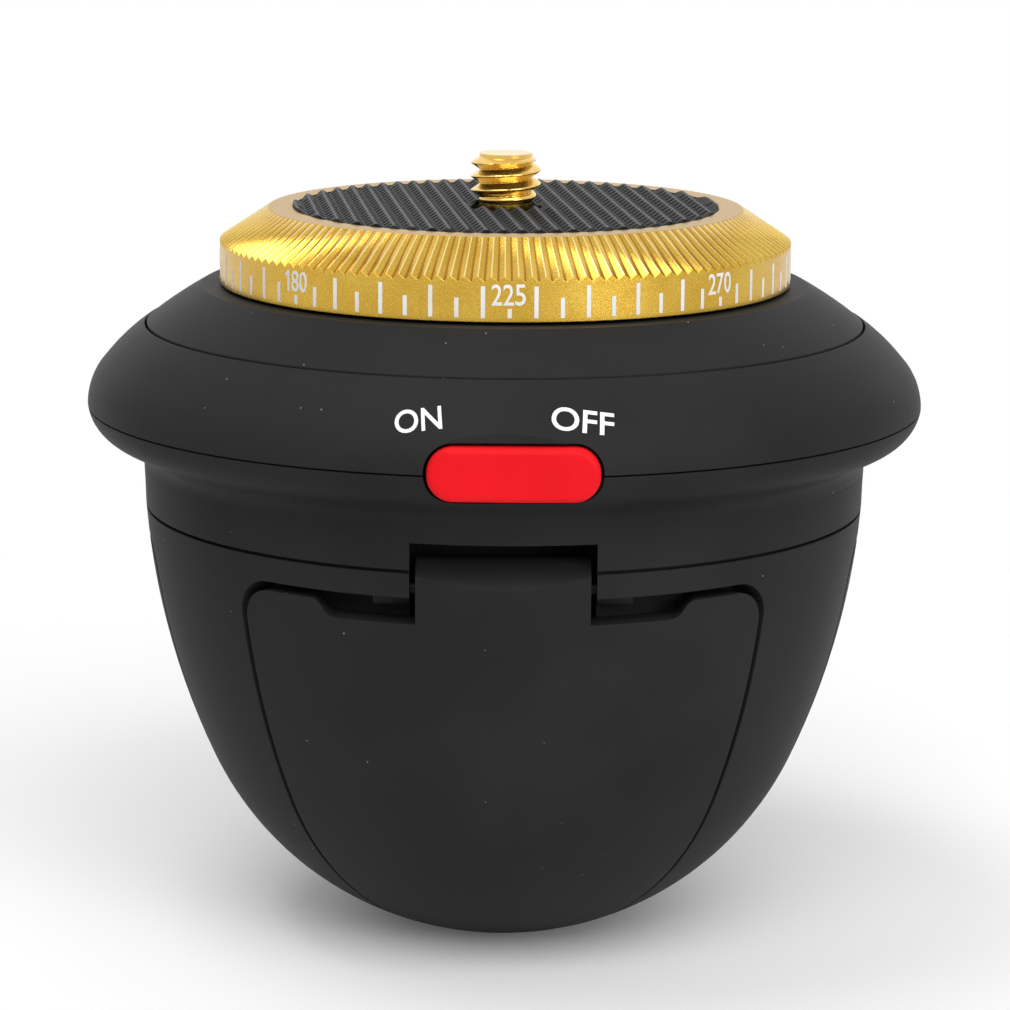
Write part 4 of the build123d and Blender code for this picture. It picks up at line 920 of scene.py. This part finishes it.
@dataclass
class TripodBush:
    """The brass bush in the foot, with a quarter inch thread in its bore."""

    shop: Workshop
    outer: float = 5.0 * MM
    minor: float = 2.6 * MM
    height: float = 6.5 * MM
    fade: float = 0.8 * MM
    around: int = 64
    rows: int = 110

    def build(self) -> None:
        """Makes the bush and lets it stand for its node."""
        sizes = {"Outer": self.outer, "Crest": self.minor, "Root": THREAD_MAJOR, "Pitch": THREAD_PITCH}
        recipe = Recipe("tripod_bush_thread", sizes)
        turn, step = recipe.sweep()
        level = step * self.height
        ends = ((self.height - level) / self.fade).ramp(0.0, 1.0)
        bore = recipe.between("Crest", "Root", (1.0 - recipe.thread(level, turn, 0.0)) * ends)
        bore = bore.math("MAXIMUM", recipe.size("Root") - level)
        walls = [
            recipe.lathe(self.around, self.rows, turn, bore, level),
            recipe.lathe(self.around, 2, turn, recipe.size("Outer"), level),
            recipe.lathe(self.around, 2, turn, recipe.between("Root", "Outer", step), 0.0),
            recipe.lathe(self.around, 2, turn, recipe.between("Crest", "Outer", step), self.height),
        ]
        brass = self.shop.built[self.shop.finishes.brass]
        piece = recipe.bake("tripod_bush_threaded", recipe.welded(walls), brass)
        point_outwards(piece)
        shade(piece)
        self.shop.keep(piece, Body.HOUSING, Slot.BRASS, ["tripod_bush"])


@dataclass
class BaseScrews:
    """The six black screws behind the legs, with cross recesses in their heads."""

    shop: Workshop
    circle: float = 30.9 * MM
    legs: Tuple[float, ...] = (-90.0, 30.0, 150.0)
    spread: float = 35.0
    seat: float = 38.7 * MM
    head_sides: int = 24
    head_r: float = 1.4 * MM
    head_h: float = 1.2 * MM
    shank_sides: int = 16
    shank_r: float = 0.9 * MM
    shank_h: float = 4.65 * MM
    slot_l: float = 1.8 * MM
    slot_w: float = 0.42 * MM
    slot_d: float = 0.7 * MM
    slot_turn: float = 3.0

    def build(self) -> None:
        """Makes one screw, sets it on its six places and lets the set stand for its node."""
        recipe = Recipe("base_screw_set", {"Head": self.head_r, "Shank": self.shank_r, "Slot": self.slot_w})
        head = recipe.cylinder(self.head_sides, recipe.size("Head"), self.head_h, -self.head_h / 2)
        wide = recipe.size("Slot")
        cutters = [
            recipe.bar(recipe.join(self.slot_l, wide, 2 * self.slot_d), -self.head_h),
            recipe.bar(recipe.join(wide, self.slot_l, 2 * self.slot_d), -self.head_h),
        ]
        cut = {"operation": "DIFFERENCE", "solver": "MANIFOLD"}
        crossed = recipe.node("GeometryNodeMeshBoolean", {"Mesh 1": head, "Mesh 2": cutters}, cut)
        shank = recipe.cylinder(self.shank_sides, recipe.size("Shank"), self.shank_h, self.shank_h / 2)
        screw = recipe.joined([crossed.outputs["Mesh"], shank])
        spots = []
        for leg in self.legs:
            for side in (-self.spread, self.spread):
                angle = math.radians(leg + side)
                place = (self.circle * math.cos(angle), self.circle * math.sin(angle), self.seat)
                spots.append(recipe.moved(screw, place, (0.0, 0.0, angle * self.slot_turn)))
        steel = self.shop.built[self.shop.finishes.blackened]
        piece = recipe.bake("base_screw_set", recipe.joined(spots), steel)
        shade(piece)
        self.shop.keep(piece, Body.HOUSING, Slot.STEEL, ["base_screws"])


@dataclass
class Lettering:
    """Raised print: flat letters that are laid on a curved surface, with all sizes in metres."""

    ink: float
    sink: float
    bold: float
    cell: float = 0.5 * MM
    snap: float = 0.002 * MM
    aside: float = 0.023 * MM
    bends: int = 5
    one: Outline = ((0.55, 0.0), (1.0, 0.0), (1.0, 1.0), (0.62, 1.0), (0.0, 0.8), (0.0, 0.63), (0.55, 0.78))
    one_share: float = 0.58
    four: Outline = (
        (0.6, 0.0), (0.83, 0.0), (0.83, 0.24), (1.0, 0.24), (1.0, 0.39), (0.83, 0.39), (0.83, 0.7),
        (0.6, 0.7), (0.6, 0.39), (0.25, 0.39), (0.55, 1.0), (0.3, 1.0), (0.0, 0.39), (0.0, 0.24), (0.6, 0.24),
    )

    def number(self, digits: str, advance: float, gap: float, height: float) -> Mesh:
        """Makes the flat digits of a number, centred on the origin.

        Args:
            digits: The digits.
            advance: The distance from digit to digit.
            gap: The gap between two digits.
            height: The height of a digit.

        Returns:
            A closed mesh like that of flat.
        """
        joined = bmesh.new()
        width = advance - gap
        own = {"1": (self.one, width * self.one_share), "4": (self.four, width)}
        for order, digit in enumerate(digits):
            mesh = self.drawn(*own[digit], height) if digit in own else self.flat(digit, width, height)
            shift = (order - (len(digits) - 1) / 2) * advance
            for vertex in mesh.vertices:
                vertex.co.x += shift
            joined.from_mesh(mesh)
            bpy.data.meshes.remove(mesh)
        mesh = bpy.data.meshes.new("number")
        joined.to_mesh(mesh)
        joined.free()
        return mesh

    @staticmethod
    def drawn(outline: Outline, width: float, height: float) -> Mesh:
        """Makes a flat figure from its outline.

        Args:
            outline: Its corners in a unit square, counter-clockwise.
            width: Its width.
            height: Its height.

        Returns:
            A closed mesh like that of flat.
        """
        work = bmesh.new()
        spots = [((x - 0.5) * width, (y - 0.5) * height) for x, y in outline]
        back = [work.verts.new((x, y, 0.0)) for x, y in spots]
        face = [work.verts.new((x, y, 1.0)) for x, y in spots]
        work.faces.new(face)
        work.faces.new(back[::-1])
        for here in range(len(spots)):
            there = (here + 1) % len(spots)
            work.faces.new((back[here], back[there], face[there], face[here]))
        mesh = bpy.data.meshes.new("figure")
        work.to_mesh(mesh)
        work.free()
        return mesh

    def flat(self, text: str, width: float, height: float) -> Mesh:
        """Makes the flat letters, centred on the origin.

        Args:
            text: The letters.
            width: Their width.
            height: Their height.

        Returns:
            A closed mesh in the XY plane, with its thickness from 0 to 1 in Z.
        """
        curve = bpy.data.curves.new("letters", "FONT")
        curve.body = text
        curve.size = 1.0
        curve.resolution_u = self.bends
        curve.extrude = 0.5
        curve.offset = self.bold
        mesh = shown(linked("letters", curve))
        bpy.data.curves.remove(curve)
        work = bmesh.new()
        work.from_mesh(mesh)
        bmesh.ops.remove_doubles(work, verts=work.verts, dist=self.snap)
        caps = [face for face in work.faces if len(face.verts) == 3]
        inner = [edge for edge in work.edges if all(len(face.verts) == 3 for face in edge.link_faces)]
        bmesh.ops.beautify_fill(work, faces=caps, edges=inner)
        xs = [v.co.x for v in work.verts]
        ys = [v.co.y for v in work.verts]
        mid_x, mid_y = (min(xs) + max(xs)) / 2, (min(ys) + max(ys)) / 2
        scale_x, scale_y = width / (max(xs) - min(xs)), height / (max(ys) - min(ys))
        for vertex in work.verts:
            vertex.co.x = (vertex.co.x - mid_x) * scale_x
            vertex.co.y = (vertex.co.y - mid_y) * scale_y
            vertex.co.z += 0.5
        self.carve(work, 0, width / 2)
        self.carve(work, 1, height / 2)
        bmesh.ops.recalc_face_normals(work, faces=work.faces)
        work.to_mesh(mesh)
        work.free()
        return mesh

    def carve(self, work: bmesh.types.BMesh, axis: int, reach: float) -> None:
        """Cuts letters into cells that can follow a curve.

        Args:
            work: The flat letters.
            axis: The axis that the cuts stand across, 0 or 1.
            reach: Half the letters' size on that axis.
        """
        cuts = int(2 * reach / self.cell)
        for cut in range(1, cuts + 1):
            spot = [0.0, 0.0, 0.0]
            spot[axis] = -reach + cut * 2 * reach / (cuts + 1) + self.aside
            normal = [0.0, 0.0, 0.0]
            normal[axis] = 1.0
            geometry = list(work.verts) + list(work.edges) + list(work.faces)
            bmesh.ops.bisect_plane(work, geom=geometry, dist=self.snap, plane_co=spot, plane_no=normal)

    def laid(self, name: str, words: List[Tuple[Mesh, Ground]], material: Material) -> Object:
        """Bends flat words onto a surface and joins them into one piece.

        Args:
            name: The piece's name.
            words: The flat words, each with its ground.
            material: The material of the whole piece.

        Returns:
            The piece.
        """
        points, faces = [], []
        for mesh, ground in words:
            faces += [[len(points) + i for i in polygon.vertices] for polygon in mesh.polygons]
            for vertex in mesh.vertices:
                point, normal = ground(vertex.co.x, vertex.co.y)
                points.append(point + normal * (vertex.co.z * (self.ink + self.sink) - self.sink))
            bpy.data.meshes.remove(mesh)
        joined = bpy.data.meshes.new(name)
        joined.from_pydata(points, [], faces)
        joined.materials.append(material)
        return linked(name, joined)


@dataclass
class DialScale:
    """The white degree scale round the gold dial: marks every 5 degrees and eight numbers."""

    shop: Workshop
    radius: float = 25.9 * MM
    front_angle: float = 0.88
    front_degree: float = 225.0
    step: float = 5.0
    number_step: int = 45
    low: float = 60.3 * MM
    long: float = 2.7 * MM
    short: float = 1.7 * MM
    mini: float = 0.8 * MM
    width: float = 0.36 * MM
    ink: float = 0.03 * MM
    sink: float = 0.05 * MM
    number_z: float = 62.28 * MM
    number_h: float = 1.8 * MM
    digit_w: float = 1.0 * MM
    digit_gap: float = 0.1 * MM
    number_shift: float = -0.1 * MM
    bold: float = 0.008

    def bearing(self, degree: float) -> float:
        """The angle from +X to a degree of the scale, in radians."""
        return math.radians(FRONT + self.front_angle + degree - self.front_degree)

    def build(self) -> None:
        """Makes the marks and the numbers."""
        self.build_marks()
        self.build_numbers()

    def build_marks(self) -> None:
        """Makes the marks with a tree that sets each mark's length from its index."""
        count = int(360 / self.step)
        every = int(self.number_step / self.step)
        sizes = {"Count": count, "Long": self.long, "Short": self.short, "Mini": self.mini}
        recipe = Recipe("dial_marks", sizes)
        index = recipe.value("GeometryNodeInputIndex")
        angle = index * math.radians(self.step) + self.bearing(0.0)
        middle = self.radius + (self.ink - self.sink) / 2
        place = recipe.join(angle.math("COSINE") * middle, angle.math("SINE") * middle, self.low)
        named = index.math("MODULO", float(every)).math("LESS_THAN", 0.5)
        plain = recipe.between("Long", "Short", index.math("MODULO", 2.0))
        length = recipe.join(1.0, 1.0, plain + (recipe.size("Mini") - plain) * named)
        bar = recipe.bar((self.ink + self.sink, self.width, 1.0), 0.5)
        turn = recipe.join(0.0, 0.0, angle)
        marks = recipe.scattered(recipe.size("Count"), place, bar, turn, Scale=length)
        piece = recipe.bake("dial_marks", marks, self.shop.built[self.shop.finishes.ink])
        self.shop.keep(piece, Body.TURNTABLE, Slot.PRINT)

    def build_numbers(self) -> None:
        """Makes the numbers and bends them round the dial."""
        lettering = Lettering(self.ink, self.sink, self.bold)
        words = []
        for degree in range(0, 360, self.number_step):
            mesh = lettering.number(str(degree), self.digit_w, self.digit_gap, self.number_h)
            middle = self.bearing(degree)

            def ground(x: float, y: float, middle: float = middle) -> Tuple[Vector, Vector]:
                """Finds a place on the dial's band.

                Args:
                    x: How far along the number it is.
                    y: How far up the number it is.
                    middle: The bearing of the number's middle.

                Returns:
                    Its point and normal.
                """
                angle = middle + (x + self.number_shift) / self.radius
                normal = Vector((math.cos(angle), math.sin(angle), 0.0))
                return normal * self.radius + Vector((0.0, 0.0, self.number_z + y)), normal

            words.append((mesh, ground))
        piece = lettering.laid("dial_numbers", words, self.shop.built[self.shop.finishes.ink])
        self.shop.keep(piece, Body.TURNTABLE, Slot.PRINT)


@dataclass(frozen=True)
class Word:
    """A printed word: its direction from the front and its tilt, in degrees, and its width."""

    text: str
    azimuth: float
    width: float
    tilt: float


@dataclass
class SwitchWords:
    """The white words ON and OFF over the ends of the button."""

    shop: Workshop
    words: Tuple[Word, ...] = (Word("ON", -11.3, 3.9 * MM, 10.0), Word("OFF", 10.3, 5.2 * MM, -9.5))
    height: float = 2.2 * MM
    ink: float = 0.035 * MM
    sink: float = 0.02 * MM
    bold: float = 0.012
    middle_z: float = 53.25 * MM
    rise: float = 1.7 * MM
    reach: float = 60 * MM
    radius: float = 36.0 * MM

    def build(self) -> None:
        """Makes the words and lays them on the housing."""
        surface = self.shop.surface_of("upper_housing")
        lettering = Lettering(self.ink, self.sink, self.bold)
        words = []
        for word in self.words:
            mesh = lettering.flat(word.text, word.width, self.height)
            mesh.transform(Matrix.Rotation(math.radians(word.tilt), 4, "Z"))

            def ground(x: float, y: float, azimuth: float = word.azimuth) -> Tuple[Vector, Vector]:
                """Finds a place on the housing from outside.

                Args:
                    x: How far along the word it is.
                    y: How far up the word it is.
                    azimuth: The direction of the word's middle from the front.

                Returns:
                    Its point and normal.
                """
                angle = math.radians(FRONT + azimuth) + x / self.radius
                outward = Vector((math.cos(angle), math.sin(angle), 0.0))
                start = outward * self.reach + Vector((0.0, 0.0, self.middle_z + y * self.rise / self.height))
                point, normal, _, _ = surface.ray_cast(start, -outward)
                return point, normal

            words.append((mesh, ground))
        piece = lettering.laid("switch_words", words, self.shop.built[self.shop.finishes.ink])
        self.shop.keep(piece, Body.HOUSING, Slot.PRINT)


@dataclass
class SoftBox:
    """One soft studio lamp."""

    name: str
    place: Spot
    width: float
    height: float
    power: float
    aim: Spot = (0.0, 0.0, 0.04)

    def build(self) -> None:
        """Makes the lamp and aims it."""
        data = bpy.data.lights.new(self.name, "AREA")
        data.shape = "RECTANGLE"
        data.size = self.width
        data.size_y = self.height
        data.energy = self.power
        lamp = linked(self.name, data)
        way = Vector(self.aim) - Vector(self.place)
        lamp.location = self.place
        lamp.rotation_euler = way.to_track_quat("-Z", "Y").to_euler()


@dataclass
class Studio:
    """A pale floor, soft light, a white background and the photograph's camera."""

    eye: Spot = (0.0, -335.91 * MM, 107.69 * MM)
    target: Spot = (0.12 * MM, 0.0, 38.93 * MM)
    roll: float = 0.38
    lens: float = 132.4
    sensor: float = 36.0
    near: float = 0.01
    far: float = 20.0
    floor_reach: float = 0.8
    floor_solid: float = 0.06
    floor_end: float = 0.22
    floor_glow: Color = (0.06, 0.06, 0.06)
    floor_dark: Color = (0.95, 0.95, 0.95)
    floor_light: Color = (0.97, 0.97, 0.97)
    floor_cloud: float = 0.05
    floor_roughness: float = 0.9
    floor_gloss: float = 0.2
    ambient: float = 0.42
    lamps: Tuple[SoftBox, ...] = (
        SoftBox("top_left", (-0.3, -0.08, 1.0), 0.5, 0.36, 2.2),
        SoftBox("front_right", (0.75, -0.85, 0.25), 0.5, 0.4, 3.0),
        SoftBox("front_top", (0.15, -0.95, 0.95), 1.4, 0.9, 12.0),
        SoftBox("back_fill", (0.0, 1.05, 0.65), 2.4, 1.6, 3.0),
    )

    def build(self) -> None:
        """Makes everything round the object."""
        self.build_world()
        self.build_floor()
        for lamp in self.lamps:
            lamp.build()
        self.build_camera()
        bpy.context.scene.view_settings.view_transform = "Standard"

    def build_world(self) -> None:
        """Makes an even world that the camera and metal see as white."""
        world = bpy.data.worlds.new("studio")
        bpy.context.scene.world = world
        world.use_nodes = True
        graph = Graph(world.node_tree)
        world.node_tree.nodes.clear()
        path = graph.node("ShaderNodeLightPath")
        seen = Expr(graph, path.outputs["Is Camera Ray"])
        for ray in ("Is Glossy Ray", "Is Transmission Ray"):
            seen = seen.math("MAXIMUM", Expr(graph, path.outputs[ray]))
        strength = self.ambient + seen * (1.0 - self.ambient)
        light = graph.node("ShaderNodeBackground", {"Color": (1.0, 1.0, 1.0, 1.0), "Strength": strength})
        graph.node("ShaderNodeOutputWorld", {"Surface": light.outputs[0]})

    def build_floor(self) -> None:
        """Makes the floor, which fades into the white background and looks a little paler to the camera."""
        half = self.floor_reach / 2
        mesh = bpy.data.meshes.new("floor")
        corners = [(-half, -half, 0.0), (half, -half, 0.0), (half, half, 0.0), (-half, half, 0.0)]
        mesh.from_pydata(corners, [], [(0, 1, 2, 3)])
        floor = linked("floor", mesh)
        canvas = Canvas("floor_paper")
        x, y, _ = canvas.split(canvas.place)
        seen = Expr(canvas, canvas.node("ShaderNodeLightPath").outputs["Is Camera Ray"])
        mesh.materials.append(canvas.surface(
            base_color=canvas.mix(canvas.noise(self.floor_cloud), self.floor_dark, self.floor_light),
            roughness=self.floor_roughness,
            specular_ior_level=self.floor_gloss,
            alpha=1.0 - x.hypot(y).smooth(self.floor_solid, self.floor_end),
            emission_color=canvas.mix(seen, (0.0, 0.0, 0.0), self.floor_glow),
            emission_strength=1.0,
        ))

    def build_camera(self) -> None:
        """Places the camera where the photograph was taken from."""
        data = bpy.data.cameras.new("photo_camera")
        data.sensor_width = self.sensor
        data.lens = self.lens
        data.clip_start = self.near
        data.clip_end = self.far
        camera = linked("photo_camera", data)
        eye = Vector(self.eye)
        forward = (Vector(self.target) - eye).normalized()
        right = forward.cross(Vector((0.0, 0.0, 1.0))).normalized()
        up = right.cross(forward)
        turn = math.radians(self.roll)
        side = right * math.cos(turn) + up * math.sin(turn)
        top = up * math.cos(turn) - right * math.sin(turn)
        matrix = Matrix((side, top, -forward)).transposed().to_4x4()
        matrix.translation = eye
        camera.matrix_world = matrix
        bpy.context.scene.camera = camera


def main() -> None:
    """Loads the frame, dresses it, adds the fine pieces and sets up the studio."""
    logging.basicConfig(level=logging.INFO, format="%(message)s")
    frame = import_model()
    shop = Workshop(frame)
    shop.dress_nodes()
    for part in (CameraScrew, PadRungs, TripodBush, BaseScrews, DialScale, SwitchWords):
        part(shop).build()
    Studio().build()


if __name__ == "__main__":
    main()
